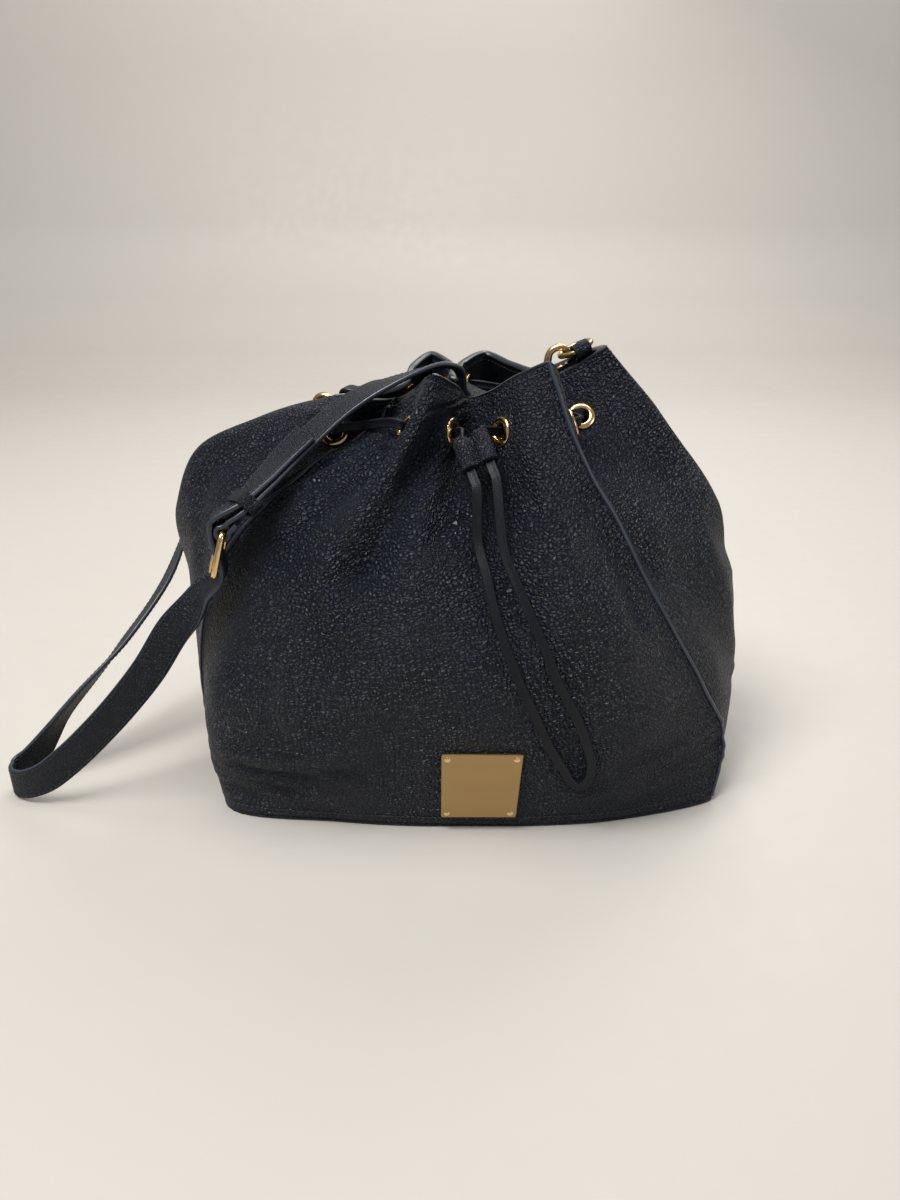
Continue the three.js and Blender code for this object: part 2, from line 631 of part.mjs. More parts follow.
function hookGate({ across, clawAt, gatePivot }) {
  const reach = clawAt(243).sub(gatePivot), length = reach.length() - 0.6;
  return join([
    rod(gatePivot, reach.normalize(), 1.1, 0, length, 10),
    rod(gatePivot, across, 1.9, -1.7, 1.7, 12),
  ]);
}

// stem and rectangular loop for the strap
function hookEye({ toStrap, eyeBase, eyeAt }) {
  // [towards the strap, across]
  const loop = [
    [3, -4], [3, 4], [4.5, 10.5], [6.5, 12.6], [11, 12.6], [12.5, 11], [12.5, 0],
    [12.5, -11], [11, -12.6], [6.5, -12.6], [4.5, -10.5],
  ].map(([x, y]) => eyeAt(x, y));
  return join([tube(loop, LOOP_WIRE, 8, 26, true), rod(eyeBase, toStrap, 2.4, 0, 3.4, 12)]);
}

function hookRing({ ringOut, ringSide, ringNormal, ringCentre }) {
  const torus = new THREE.TorusGeometry(RING_R, RING_WIRE, 6, 20);
  return place(torus, ringCentre, [ringOut, ringSide, ringNormal]);
}

const hooks = {
  right: hookFrame({
    claw: vec(52, 31.5, 256.5),
    toStrap: unit(-0.75, 0, -0.66),
    arcSide: vec(-0.66, 0, 0.75),
    ringOut: unit(0.9, 0, 0.44),
    ringFace: vec(-0.44, 0, 0.9),
  }),
  left: hookFrame({
    claw: vec(-95.5, 63.5, 221),
    toStrap: unit(-0.82, 0.26, -0.5),
    arcSide: vec(-0.4, 0.2, 0.88),
    ringOut: unit(0.84, -0.34, 0.42),
    ringFace: vec(-0.38, 0.1, 0.92),
  }),
};

// stations on an arc of angles round a centre, its middle facing away from direction
function bend(centre, across, direction, side, radius, angles) {
  return angles.map((degrees) => {
    const angle = degrees * Math.PI / 180;
    const point = move(move(centre, direction, -radius * Math.cos(angle)),
      side, radius * Math.sin(angle));
    return station(point, across);
  });
}

// leather tab folded round the ring wire, both legs running through the way points
function ringTab({ ringOut, ringSide, ringCentre }, ringDegrees, way) {
  const angle = ringDegrees * Math.PI / 180;
  const onRing = move(move(ringCentre, ringOut, RING_R * Math.cos(angle)),
    ringSide, RING_R * Math.sin(angle)).lerp(ringCentre, 0.07);
  const across = ringOut.clone().multiplyScalar(-Math.sin(angle))
    .addScaledVector(ringSide, Math.cos(angle)).normalize();
  const direction = squareTo(way[0].clone().sub(onRing), across);
  const side = cross(across, direction);
  const leg = (offset) => [move(onRing, direction, 6.5), ...way]
    .map((point) => station(move(point, side, offset), across));
  const fold = bend(onRing, across, direction, side, 3.8, [118, 75, 35, 0, -35, -75, -118]);
  return ribbon([...leg(1.05).reverse(), ...fold, ...leg(-1.05)], TAB_W, TAB_T);
}

// ---------------------------------------------------------------- buckle
const buckleCentre = vec(-139.5, -60, 169);
const buckleDown = unit(-0.25, -0.1, -0.96);                        // down the strap
const buckleAcross = squareTo(vec(0.1, -0.985, 0.08), buckleDown);
const buckleOut = cross(buckleDown, buckleAcross);                  // away from the bag
const BUCKLE_AXES = [buckleDown, buckleAcross, buckleOut];
const buckleAt = (down, across, out) =>
  move(move(move(buckleCentre, buckleDown, down), buckleAcross, across), buckleOut, out);
// the heel bar, which carries the tongue, and the front bar, measured down the strap
const FRONT = 12, HEEL = -FRONT;

function buckleFrame() {
  const bar = 12.8, side = bar + 1, corner = FRONT - 2.7273;
  const loop = [
    [HEEL, -bar], [HEEL, 0], [HEEL, bar], [-corner, side], [0, side], [corner, side],
    [FRONT, bar], [FRONT, 0], [FRONT, -bar], [corner, -side], [0, -side], [-corner, -side],
  ].map(([down, across]) => buckleAt(down, across, 0));
  return tube(loop, LOOP_WIRE, 8, 36, true);
}

function buckleTongue() {
  const tip = buckleAt(FRONT + 2.2, 0, 3.1);
  const root = buckleAt(HEEL, 0, 1.2), heel = buckleAt(HEEL, 0, 0);
  const direction = tip.clone().sub(root).normalize();
  const out = cross(direction, buckleAcross), length = tip.distanceTo(root);
  const barCentre = move(move(root, direction, length / 2 + 0.8), out, 0.6);
  const bar = box(barCentre, [direction, buckleAcross, out], [length - 1.6, 3, 1.8]);
  const knuckle = rod(heel, buckleAcross, 3.2, -1.6, 1.6, 14);
  return cut(join([knuckle, bar]), [rod(heel, buckleAcross, 1.95, -4, 4, 14)]);
}

// rectangular leather band round the strap and the tail lying on it
function strapKeeper() {
  const down = unit(-0.623, -0.485, -0.614);
  const across = squareTo(vec(0.43, -0.83, 0.22), down), out = cross(down, across);
  const centre = move(vec(-124.1, -54.3, 193), out, 1.65), axes = [down, across, out];
  return cut(box(centre, axes, [7.4, 25.6, 13]), [box(centre, axes, [10, 22.8, 10.2])]);
}

// ---------------------------------------------------------------- shoulder strap
// Strap stations: x, y, z, then the direction of the width.
// Run above the buckle, shared by the short strap and the tail lying on it
const SHARED_RUN = readStations([
  [-92.9, -22.7, 222.6, 0.5, -0.82, -0.22],
  [-105.1, -29.5, 211.5, 0.58, -0.8, -0.08],
  [-115.3, -42.3, 201.5, 0.48, -0.86, 0],
  [-125.1, -55.4, 192, 0.43, -0.83, 0.22],
]);
// height of the tail over the short strap at each station of the shared run
const TAIL_HEIGHTS = [3.3, 3.3, 3.5, 4.3];
// from the right hook to the shared run
const SHORT_RUN = readStations([
  [2, 25, 235.5, 0.1, -0.93, -0.3],
  [-6, 22, 243, 0.12, -0.95, -0.2],
  [-9, 17, 250.5, 0.15, -0.95, 0],
  [-13, 12, 255, 0.15, -0.93, 0.2],
  [-22, 7, 256, 0.1, -0.95, 0.28],
  [-40, 0, 251.5, 0.12, -0.96, 0.1],
  [-69.3, -8.9, 239.6, 0.3, -0.91, -0.23],
]);
// from the buckle down to the floor and back up to the left hook
const LONG_RUN = readStations([
  [-152, -60, 144, 0.45, -0.8, -0.25],
  [-162, -59, 131, 0.65, -0.5, -0.5],
  [-174, -57, 117, 0.78, -0.1, -0.6],
  [-190, -58, 93, 0.8, 0, -0.6],
  [-209, -60, 70, 0.7, 0.1, -0.7],
  [-228, -62, 50, 0.5, 0.1, -0.86],
  [-246, -63, 33, 0.3, 0.05, -0.95],
  [-264, -63, 19, 0.12, 0, -0.99],
  [-279, -60, 12.5, 0, 0, -1],
  [-288, -54, 11.2, 0, 0, -1],
  [-289, -45, 11.5, 0, 0, -1],
  [-281, -38, 17, -0.1, 0, -1],
  [-262, -22, 42, -0.5, 0.1, -0.85],
  [-230, 8, 76, -0.7, 0.1, -0.7],
  [-206, 40, 108, -0.6, 0.5, -0.6],
  [-190, 64, 145, -0.3, 0.8, -0.4],
  [-168, 76, 178, 0.2, 0.92, -0.2],
  [-145, 78, 200, 0.4, 0.9, 0.05],
]);
// the long strap through the buckle: [down, out]
const BUCKLE_PASS = [[HEEL - 5, 6.9], [HEEL, 6.9], [0, 2.0], [FRONT - 3, -2.8], [FRONT + 4, -3.4]];

// Strap end folded round a bar, from the tip of the turned-back end to the run side.
// tip and near are distances from the bar along direction.
function strapFold({ bar, across, direction, radius, tip, near }) {
  const side = cross(across, direction);
  const leg = (distance, offset) =>
    station(move(move(bar, direction, distance), side, offset), across);
  return [
    leg(tip, -1.9),
    leg(near, -2.0),
    ...bend(bar, across, direction, side, radius, [-140, -90, -40, 0, 40, 90, 140]),
    leg(near, 1.9),
  ];
}

function shortStrap() {
  const hookEnd = strapFold({
    bar: hooks.right.strapBar,
    across: hooks.right.across.clone().negate(),
    direction: unit(-0.9, 0, -0.43),
    radius: 4.0, tip: 15, near: 9,
  });
  const buckleEnd = strapFold({
    bar: buckleAt(HEEL, 0, 0),
    across: buckleAcross,
    direction: squareTo(vec(0.734, 0.122, 0.668), buckleAcross),
    radius: 3.63, tip: 8.5, near: 6.8,
  }).reverse();
  const strap = ribbon([...hookEnd, ...SHORT_RUN, ...SHARED_RUN, ...buckleEnd],
    STRAP_W, STRAP_T);
  const tongueSlot = box(buckleAt(HEEL + 2, 0, 0), BUCKLE_AXES, [13, 4.6, 14]);
  return cut(strap, [tongueSlot]);
}

function longStrap() {
  const tail = SHARED_RUN.map(({ point, across }, i) => {
    const before = SHARED_RUN[Math.max(0, i - 1)].point;
    const after = SHARED_RUN[Math.min(SHARED_RUN.length - 1, i + 1)].point;
    const out = cross(after.clone().sub(before), across);
    return station(move(point, out, TAIL_HEIGHTS[i]), across);
  });
  const pass = BUCKLE_PASS.map(([down, out]) => station(buckleAt(down, 0, out), buckleAcross));
  const hookEnd = strapFold({
    bar: hooks.left.strapBar,
    across: hooks.left.across,
    direction: unit(-0.86, 0.22, -0.45),
    radius: 4.0, tip: 15, near: 9,
  }).reverse();
  const strap = ribbon([...tail, ...pass, ...LONG_RUN, ...hookEnd], STRAP_W, STRAP_T);
  const tongueSlot = box(buckleAt(-0.5, 0, 2), BUCKLE_AXES, [14, 4.6, 12]);
  return cut(strap, [tongueSlot]);
}

// ---------------------------------------------------------------- assembly
const { frontRight, backRight, backLeft, frontLeft } = SEAMS;
const plateSeat = platePrism(0.3, PLATE_T + 0.6);
add('front_panel', cut(wallPanel(frontLeft, frontRight + COLUMNS),
  [...wallCuts, plateSeat, ...pinHoles]), 'leather');
add('right_gusset', cut(wallPanel(frontRight, backRight), wallCuts), 'leather');
add('back_panel', cut(wallPanel(backRight, backLeft), wallCuts), 'leather');
add('left_gusset', cut(wallPanel(backLeft, frontLeft), wallCuts), 'leather');
add('base_panel', basePanel(), 'leather');
add('base_board', baseBoard(), 'board');
add('lining', lining(), 'lining');
add('rim_facing', rimFacing(), 'lining');
EYELETS.forEach(addEyelet);

add('front_plate', cut(platePrism(0, PLATE_T), pinHoles), 'plate');
pinPoints.forEach((point, i) => add('plate_pin_' + (i + 1), platePin(point), 'gold'));

add('drawstring_rim', rimCord(), 'cord');
add('drawstring_pull', pullCord(), 'cord');
add('drawstring_slider', cordSlider(), 'leather');

for (const [side, hook] of Object.entries(hooks)) {
  add('hook_claw_' + side, hookClaw(hook), 'gold');
  add('hook_gate_' + side, hookGate(hook), 'gold');
  add('hook_eye_' + side, hookEye(hook), 'gold');
  add('ring_' + side, hookRing(hook), 'gold');
}
const rightTabWay = [vec(67, 25.5, 257), offWall(6.35, 0.925, -8.2)];
const leftTabWay = [offWall(17.2, 0.93, 9.5), offWall(17.3, 0.985, 4.4)];
add('ring_tab_right', ringTab(hooks.right, -75, rightTabWay), 'leather');
add('ring_tab_left', ringTab(hooks.left, 0, leftTabWay), 'leather');

add('strap_short', shortStrap(), 'leather');
add('strap_long', longStrap(), 'leather');
add('buckle_frame', buckleFrame(), 'gold');
add('buckle_tongue', buckleTongue(), 'gold');
add('strap_keeper', strapKeeper(), 'leather');

export default group;
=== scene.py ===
# Soft pebbled-leather bucket bag with a drawstring mouth and a buckled strap, built round the
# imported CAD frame. Lengths are in mm and become metres when a mesh is made.
# X right, Y back, Z up; the origin is under the middle of the base.
#
# The wall is a surface over (u, t). u counts key columns anticlockwise seen from above, from 0 at
# the front middle; t runs from 0 at the base to 1 at the mouth.
import math
import bpy
import bmesh
import numpy as np
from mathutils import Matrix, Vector


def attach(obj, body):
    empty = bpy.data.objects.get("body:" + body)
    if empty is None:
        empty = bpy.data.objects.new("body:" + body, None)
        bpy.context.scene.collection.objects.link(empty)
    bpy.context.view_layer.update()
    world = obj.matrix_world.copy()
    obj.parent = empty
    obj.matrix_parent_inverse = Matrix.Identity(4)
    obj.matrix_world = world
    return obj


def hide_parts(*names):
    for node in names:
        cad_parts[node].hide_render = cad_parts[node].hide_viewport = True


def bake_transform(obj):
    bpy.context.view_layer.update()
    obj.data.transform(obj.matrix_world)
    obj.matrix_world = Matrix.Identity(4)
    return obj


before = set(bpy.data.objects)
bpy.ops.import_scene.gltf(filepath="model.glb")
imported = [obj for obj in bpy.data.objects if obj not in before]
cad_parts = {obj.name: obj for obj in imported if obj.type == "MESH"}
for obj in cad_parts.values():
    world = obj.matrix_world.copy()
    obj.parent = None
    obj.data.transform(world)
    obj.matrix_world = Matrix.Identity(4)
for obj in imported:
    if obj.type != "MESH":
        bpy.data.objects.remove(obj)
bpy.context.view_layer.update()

MM = 0.001
X_AXIS, Y_AXIS, Z_AXIS = np.eye(3)


def vec(*xyz):
    return np.array(xyz, float)


# ------------------------------------------------------------------ measured places
# name, centre of the hole, outward normal; in order along the drawstring
EYELETS = [(name, vec(*center), vec(*normal)) for name, center, normal in [
    ("front_right", (14.144, -33.942, 228.073), (-.844, -.494, .21)),
    ("crest_right", (53.777, -30.653, 231.992), (.937, .075, .34)),
    ("gusset_right_front", (63.338, 3.817, 227.885), (-.047, -.793, .607)),
    ("gusset_right_back", (88.743, 39.998, 236.869), (.593, .708, .383)),
    ("back_right_outer", (34.915, 82.036, 232.499), (.727, .525, .442)),
    ("back_right_inner", (-4.63, 84.195, 230.425), (-.893, .415, -.172)),
    ("back_left_inner", (-11.986, 84.23, 230.425), (.947, .316, .053)),
    ("back_left_outer", (-44.873, 80.206, 229.425), (-.775, .413, .479)),
    ("gusset_left_back", (-99.039, 34.319, 222.816), (-.255, .514, .819)),
    ("gusset_left_front", (-80.603, -5.731, 220.01), (-.013, -.715, .699)),
    ("crest_left", (-38.096, -35.788, 230.492), (-.789, -.152, .596)),
    ("front_left", (-11.605, -25.98, 225.664), (.901, -.401, .166)),
]]

# bend: centre of the hook's curve; shank: from there to the strap; width: across the hook
# pivot: gate hinge; post: foot of the swivel; bar: where the strap folds round
# ring, ring_x, ring_y: centre of the O-ring and the two axes of its plane
HOOKS = {
    "right": dict(
        bend=vec(52, 31.5, 256.5), shank=vec(-.751, 0, -.661), width=vec(0, 1, 0),
        pivot=vec(49.569, 31.5, 249.299), post=vec(38.938, 31.5, 245.005),
        bar=vec(29.554, 31.5, 236.747), ring=vec(61.464, 31.5, 262.313),
        ring_x=vec(.898, 0, .439), ring_y=vec(0, 1, 0)),
    "left": dict(
        bend=vec(-95.5, 63.5, 221), shank=vec(-.824, .261, -.503), width=vec(.335, .94, -.061),
        pivot=vec(-99.19, 64.388, 214.415), post=vec(-109.84, 68.047, 212.256),
        bar=vec(-120.142, 71.313, 205.975), ring=vec(-86.362, 59.921, 226.505),
        ring_x=vec(.841, -.34, .421), ring_y=vec(.355, .934, .045)),
}
RING_RADIUS = 10

PLATE_CENTER, PLATE_OUT = vec(4.526, -92.087, 34.274), vec(0, -.991, -.134)

# cord stop: centre, then directions down the cords, across to the right, and outward
STOP_CENTER = vec(-.319, -50.186, 221.654)
STOP_DOWN, STOP_ACROSS, STOP_OUT = vec(.285, -.728, -.624), vec(.903, -.01, .43), vec(-.319, -.686, .654)
# where the two cords rise above the stop
LIFT_LEFT, LIFT_RIGHT = vec(-8.514, -42.126, 226.106), vec(1.595, -42.238, 230.925)

# buckle: centre, then directions down the strap, across it, and outward
BUCKLE_CENTER = vec(-139.5, -60, 169.0)
BUCKLE_DOWN, BUCKLE_ACROSS, BUCKLE_OUT = vec(-.251, -.1, -.963), vec(.1, -.992, .077), vec(-.963, -.077, .259)

# ------------------------------------------------------------------ wall surface
STATIONS = np.array([0, .12, .30, .50, .67, .79, .89, 1.0])  # t of the points in a key column
# x, y, z up each key column, eight stations to a column
KEY_COLUMNS = np.array([
    # 0, front middle
    (0, -85, 0), (0, -91, 35), (0, -94, 85), (-2, -86, 140),
    (-4, -62, 185), (-4, -30, 212), (-3, -8, 226), (-2, 8, 238),
    # 1
    (35, -85, 0), (38, -91, 35), (42, -96, 85), (40, -93, 140),
    (30, -76, 185), (20, -50, 212), (14, -32, 232), (10, -20, 248),
    # 2
    (85, -80, 0), (90, -86, 35), (88, -93, 85), (74, -89, 140),
    (52, -76, 185), (36, -62, 215), (27, -50, 238), (22, -40, 260),
    # 3, front right corner
    (150, -60, 0), (156, -50, 36), (134, -58, 85), (98, -63, 146),
    (75, -59, 190), (60, -55, 213), (49, -50, 236), (38, -42, 267),
    # 4
    (154, -45, 0), (161, -38, 36), (146, -44, 88), (107, -48, 150),
    (79, -42, 192), (62, -36, 215), (53, -30, 234), (46, -22, 258),
    # 5
    (156, -30, 0), (166, -24, 36), (156, -26, 90), (121, -30, 156),
    (86, -24, 195), (63, -10, 216), (50, 6, 230), (45, 22, 246),
    # 6
    (156, -10, 0), (169, -6, 36), (168, -10, 88), (148, -14, 150),
    (116, -10, 190), (88, 0, 218), (75, 8, 238), (63, 18, 256),
    # 7, right side
    (152, 12, 0), (168, 12, 30), (171, 14, 70), (167, 14, 125),
    (149, 12, 178), (124, 13, 213), (103, 14, 238), (77, 15, 266),
    # 8
    (152, 32, 0), (166, 34, 35), (168, 38, 80), (158, 42, 135),
    (130, 42, 182), (104, 40, 214), (88, 40, 238), (73, 40, 261),
    # 9, back right corner
    (146, 58, 0), (156, 62, 35), (154, 66, 85), (136, 68, 140),
    (104, 64, 185), (76, 60, 212), (57, 58, 230), (44, 57, 246),
    # 10
    (110, 80, 0), (118, 86, 35), (114, 90, 85), (98, 94, 140),
    (70, 92, 187), (46, 82, 216), (34, 82, 234), (28, 80, 246),
    # 11
    (62, 86, 0), (66, 92, 35), (62, 98, 85), (52, 104, 140),
    (36, 108, 188), (22, 107, 216), (15, 104, 236), (10, 99, 250),
    # 12
    (25, 88, 0), (26, 94, 35), (24, 99, 85), (18, 102, 140),
    (8, 98, 186), (0, 86, 214), (-5, 84, 232), (-7, 81, 246),
    # 13, back middle
    (0, 88, 0), (0, 94, 35), (-1, 98, 85), (-4, 98, 140),
    (-7, 88, 184), (-9, 70, 210), (-10, 54, 228), (-10, 42, 244),
    # 14
    (-25, 88, 0), (-26, 94, 35), (-25, 99, 85), (-22, 102, 140),
    (-16, 98, 186), (-12, 86, 214), (-12, 84, 232), (-12, 80, 246),
    # 15
    (-62, 86, 0), (-66, 92, 35), (-64, 98, 85), (-58, 104, 140),
    (-46, 107, 188), (-34, 105, 216), (-28, 101, 236), (-26, 96, 250),
    # 16
    (-110, 80, 0), (-118, 86, 35), (-116, 90, 85), (-106, 94, 140),
    (-82, 91, 185), (-56, 82, 213), (-44, 80, 231), (-39, 77, 245),
    # 17, back left corner
    (-146, 58, 0), (-156, 62, 35), (-160, 66, 85), (-152, 68, 140),
    (-124, 64, 182), (-88, 60, 207), (-62, 57, 224), (-44, 53, 238),
    # 18
    (-152, 32, 0), (-166, 34, 35), (-174, 38, 80), (-176, 42, 135),
    (-160, 42, 185), (-128, 38, 211), (-96, 34, 224), (-66, 32, 236),
    # 19, left side
    (-152, 8, 0), (-167, 8, 33), (-177, 10, 70), (-180, 12, 125),
    (-184, 12, 172), (-165, 12, 209), (-125, 13, 227), (-82, 15, 238),
    # 20
    (-155, -20, 0), (-168, -16, 36), (-173, -16, 88), (-170, -16, 145),
    (-160, -12, 185), (-132, -8, 209), (-98, -3, 225), (-66, 2, 237),
    # 21
    (-157, -47, 0), (-163, -38, 36), (-165, -38, 88), (-152, -40, 142),
    (-128, -38, 180), (-94, -25, 206), (-60, -5, 223), (-46, 5, 238),
    # 22, front left corner
    (-151, -67, 0), (-157, -66, 36), (-148, -72, 88), (-116, -72, 145),
    (-88, -60, 184), (-56, -45, 211), (-37.5, -33, 232), (-31.5, -25, 251),
    # 23
    (-80, -81, 0), (-84, -88, 35), (-78, -94, 85), (-58, -84, 145),
    (-52, -72, 182), (-42, -58, 214), (-33, -50, 236), (-23, -39, 260),
    # 24
    (-35, -85, 0), (-37, -91, 35), (-37, -95, 85), (-34, -89, 140),
    (-30, -72, 185), (-22, -48.5, 213), (-15.5, -33, 231), (-11, -25, 252),
], float).reshape(-1, len(STATIONS), 3)
COLUMNS = len(KEY_COLUMNS)
# below 1 the wall turns more tightly at that column
ROUNDNESS = np.ones((COLUMNS, 1, 1))
ROUNDNESS[3], ROUNDNESS[7] = .45, .7
# u of the four sewn seams
FRONT_RIGHT, BACK_RIGHT, BACK_LEFT, FRONT_LEFT = SEAMS = (3.0, 9.0, 17.0, 21.05)


def unit(v):
    v = np.asarray(v, float)
    return v / np.maximum(np.linalg.norm(v, axis=-1, keepdims=True), 1e-12)


def hermite(p0, p1, m0, m1, s):
    return ((2 * s**3 - 3 * s**2 + 1) * p0 + (s**3 - 2 * s**2 + s) * m0
            + (-2 * s**3 + 3 * s**2) * p1 + (s**3 - s**2) * m1)


def key_slopes():
    """Rate of change with t at each key point, weighted by the neighbouring gaps."""
    gaps = np.diff(STATIONS)[:, None]
    rates = np.diff(KEY_COLUMNS, axis=1) / gaps
    inner = (rates[:, :-1] * gaps[1:] + rates[:, 1:] * gaps[:-1]) / (gaps[1:] + gaps[:-1])
    return np.concatenate([rates[:, :1], inner, rates[:, -1:]], axis=1)


KEY_SLOPES = key_slopes()


def wall(us, ts):
    """Points (u, t, xyz) on the wall."""
    us, ts = np.asarray(us, float), np.asarray(ts, float)
    k = np.clip(np.searchsorted(STATIONS, ts, side="right") - 1, 0, len(STATIONS) - 2)
    gap = (STATIONS[k + 1] - STATIONS[k])[:, None]
    p = hermite(KEY_COLUMNS[:, k], KEY_COLUMNS[:, k + 1], KEY_SLOPES[:, k] * gap,
                KEY_SLOPES[:, k + 1] * gap, (ts - STATIONS[k])[:, None] / gap)
    after = np.linalg.norm(np.roll(p, -1, 0) - p, axis=2)[..., None] ** .75
    before = np.roll(after, 1, 0)
    tangent = ((p - np.roll(p, 1, 0)) / before * after
               + (np.roll(p, -1, 0) - p) / after * before) / (after + before) * ROUNDNESS
    i = np.floor(np.mod(us, COLUMNS)).astype(int) % COLUMNS
    j = (i + 1) % COLUMNS
    s = np.mod(us, COLUMNS)
    s = (s - np.floor(s))[:, None, None]
    return hermite(p[i], p[j], tangent[i] * after[i], tangent[j] * after[i], s)


def wall_point(u, t):
    return wall([u], [t])[0, 0]


def wall_normal(u, t, u_reach=.22, t_reach=.03):
    around = wall_point(u + u_reach, t) - wall_point(u - u_reach, t)
    upward = wall_point(u, min(1, t + t_reach)) - wall_point(u, max(0, t - t_reach))
    return unit(np.cross(around, upward))


def off_wall(u, t, height):
    return wall_point(u, t) + wall_normal(u, t) * height


def smoothstep(x):
    x = np.clip(x, 0, 1)
    return x * x * (3 - 2 * x)


def noise(p, seed):
    """Smooth value noise in -1..1 at points p (..., 3)."""
    p = np.asarray(p, float)
    cell = np.floor(p).astype(np.int64)
    f = p - cell
    f = f * f * (3 - 2 * f)

    def corner(a, b, c):
        v = (a * 374761393 + b * 668265263 + c * 2147483647 + seed * 1274126177) & 0xffffffff
        v = ((v ^ (v >> 13)) * 1274126177) & 0xffffffff
        v = (v ^ (v >> 16)) & 0xffff
        return v / 32767.5 - 1

    x, y, z = cell[..., 0], cell[..., 1], cell[..., 2]
    fx, fy, fz = f[..., 0], f[..., 1], f[..., 2]
    total = 0
    for dx in (0, 1):
        for dy in (0, 1):
            for dz in (0, 1):
                weight = (fx if dx else 1 - fx) * (fy if dy else 1 - fy) * (fz if dz else 1 - fz)
                total = total + corner(x + dx, y + dy, z + dz) * weight
    return total


# ------------------------------------------------------------------ mesh helpers
# A mesh here is a pair: vertices in mm, and faces as lists of vertex numbers.
def build(name, mesh, materials, body, node, angle=38, face_materials=None):
    verts, faces = mesh
    data = bpy.data.meshes.new(name)
    data.from_pydata([tuple(v) for v in np.asarray(verts, float) * MM], [],
                     [tuple(int(i) for i in face) for face in faces])
    data.validate()
    bm = bmesh.new()
    bm.from_mesh(data)
    bmesh.ops.recalc_face_normals(bm, faces=bm.faces)
    for edge in bm.edges:
        if len(edge.link_faces) == 2:
            edge.smooth = edge.calc_face_angle(0) < math.radians(angle)
    for face in bm.faces:
        face.smooth = True
    bm.to_mesh(data)
    bm.free()
    ob = bpy.data.objects.new(name, data)
    bpy.context.scene.collection.objects.link(ob)
    for material in materials:
        data.materials.append(material)
    # validate() may have dropped faces, and then the list no longer matches
    if face_materials is not None and len(face_materials) == len(data.polygons):
        data.polygons.foreach_set("material_index", np.asarray(face_materials, np.int32))
    if body:
        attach(ob, body)
    if node:
        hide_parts(node)
    return ob


def join(meshes):
    verts, faces, count = [], [], 0
    for part_verts, part_faces in meshes:
        verts.append(part_verts)
        faces += [[i + count for i in face] for face in part_faces]
        count += len(part_verts)
    return np.concatenate(verts), faces


def loft(rings, closed=False):
    """Skin over rings (ring, point, xyz); the ends are capped unless it closes on itself."""
    rings = np.asarray(rings)
    count, size = rings.shape[:2]
    faces = []
    for i in range(count if closed else count - 1):
        a, b = i * size, (i + 1) % count * size
        for q in range(size):
            r = (q + 1) % size
            faces.append((a + q, a + r, b + r, b + q))
    if not closed:
        faces.append(tuple(range(size))[::-1])
        faces.append(tuple(range((count - 1) * size, count * size)))
    return rings.reshape(-1, 3), faces


def place(section, points, sides, ups, scale=1.0):
    """Copies of a flat section (x, y) at points, x along sides and y along ups."""
    section = np.asarray(section, float)
    scale = np.reshape(scale, (-1, 1, 1))
    return (np.atleast_2d(points)[:, None]
            + np.atleast_2d(sides)[:, None] * (section[:, :1] * scale)
            + np.atleast_2d(ups)[:, None] * (section[:, 1:] * scale))


def lay(outline, origin, x_dir, y_dir):
    """One flat outline in space."""
    return place(outline, origin, x_dir, y_dir)[0]


def ellipse(x_radius, y_radius, count):
    a = np.arange(count) * 2 * math.pi / count
    return np.stack([x_radius * np.cos(a), y_radius * np.sin(a)], 1)


def with_half_turn(half):
    """Half an outline, then the same points turned half way round."""
    half = np.array(half, float)
    return np.concatenate([half, -half])


def curve(points, per, closed=False):
    """Centripetal Catmull-Rom through points, per samples a span."""
    p = np.asarray(points, float)
    if closed:
        p = np.vstack([p[-1:], p, p[:2]])
    else:
        p = np.vstack([2 * p[:1] - p[1:2], p, 2 * p[-1:] - p[-2:-1]])
    out = []
    for i in range(len(p) - 3):
        q = p[i:i + 4]
        d = [max(np.sum((q[k + 1] - q[k]) ** 2) ** .25, 1e-4) for k in range(3)]
        chord = (q[2] - q[1]) / d[1]
        m1 = ((q[1] - q[0]) / d[0] - (q[2] - q[0]) / (d[0] + d[1]) + chord) * d[1]
        m2 = ((q[3] - q[2]) / d[2] - (q[3] - q[1]) / (d[1] + d[2]) + chord) * d[1]
        out += [hermite(q[1], q[2], m1, m2, s) for s in np.arange(per) / per]
    if not closed:
        out.append(p[-2])
    return np.array(out)


def frames(path, closed=False, sides=None):
    """Side and up directions along a path. Without sides, one is carried round a closed path
    and the leftover twist is spread evenly."""
    if closed:
        tangents = unit(np.roll(path, -1, 0) - np.roll(path, 1, 0))
    else:
        tangents = unit(np.vstack([path[1:2] - path[:1], path[2:] - path[:-2],
                                   path[-1:] - path[-2:-1]]))
    if sides is not None:
        sides = unit(sides - tangents * (sides * tangents).sum(1, keepdims=True))
        return sides, np.cross(tangents, sides)
    first = tangents[0]
    side = Z_AXIS if abs(first[2]) < .8 else X_AXIS
    sides = []
    for tangent in tangents:
        side = unit(side - tangent * np.dot(side, tangent))
        sides.append(side)
    last = unit(side - first * np.dot(side, first))
    twist = math.atan2(np.dot(np.cross(last, sides[0]), first), np.dot(last, sides[0]))
    a = (twist * np.arange(len(path)) / len(path))[:, None]
    sides = np.array(sides)
    sides = sides * np.cos(a) + np.cross(tangents, sides) * np.sin(a)
    return sides, np.cross(tangents, sides)


def sweep(path, section, closed=False, sides=None, scale=1.0):
    sides, ups = frames(path, closed, sides)
    return loft(place(section, path, sides, ups, scale), closed)


def spokes(axis, count):
    """Directions square to axis, evenly round it, and the unit axis."""
    axis = unit(axis)
    x = unit(np.cross(Z_AXIS if abs(axis[2]) < .9 else X_AXIS, axis))
    a = (np.arange(count) * 2 * math.pi / count)[:, None]
    return x * np.cos(a) + np.cross(axis, x) * np.sin(a), axis


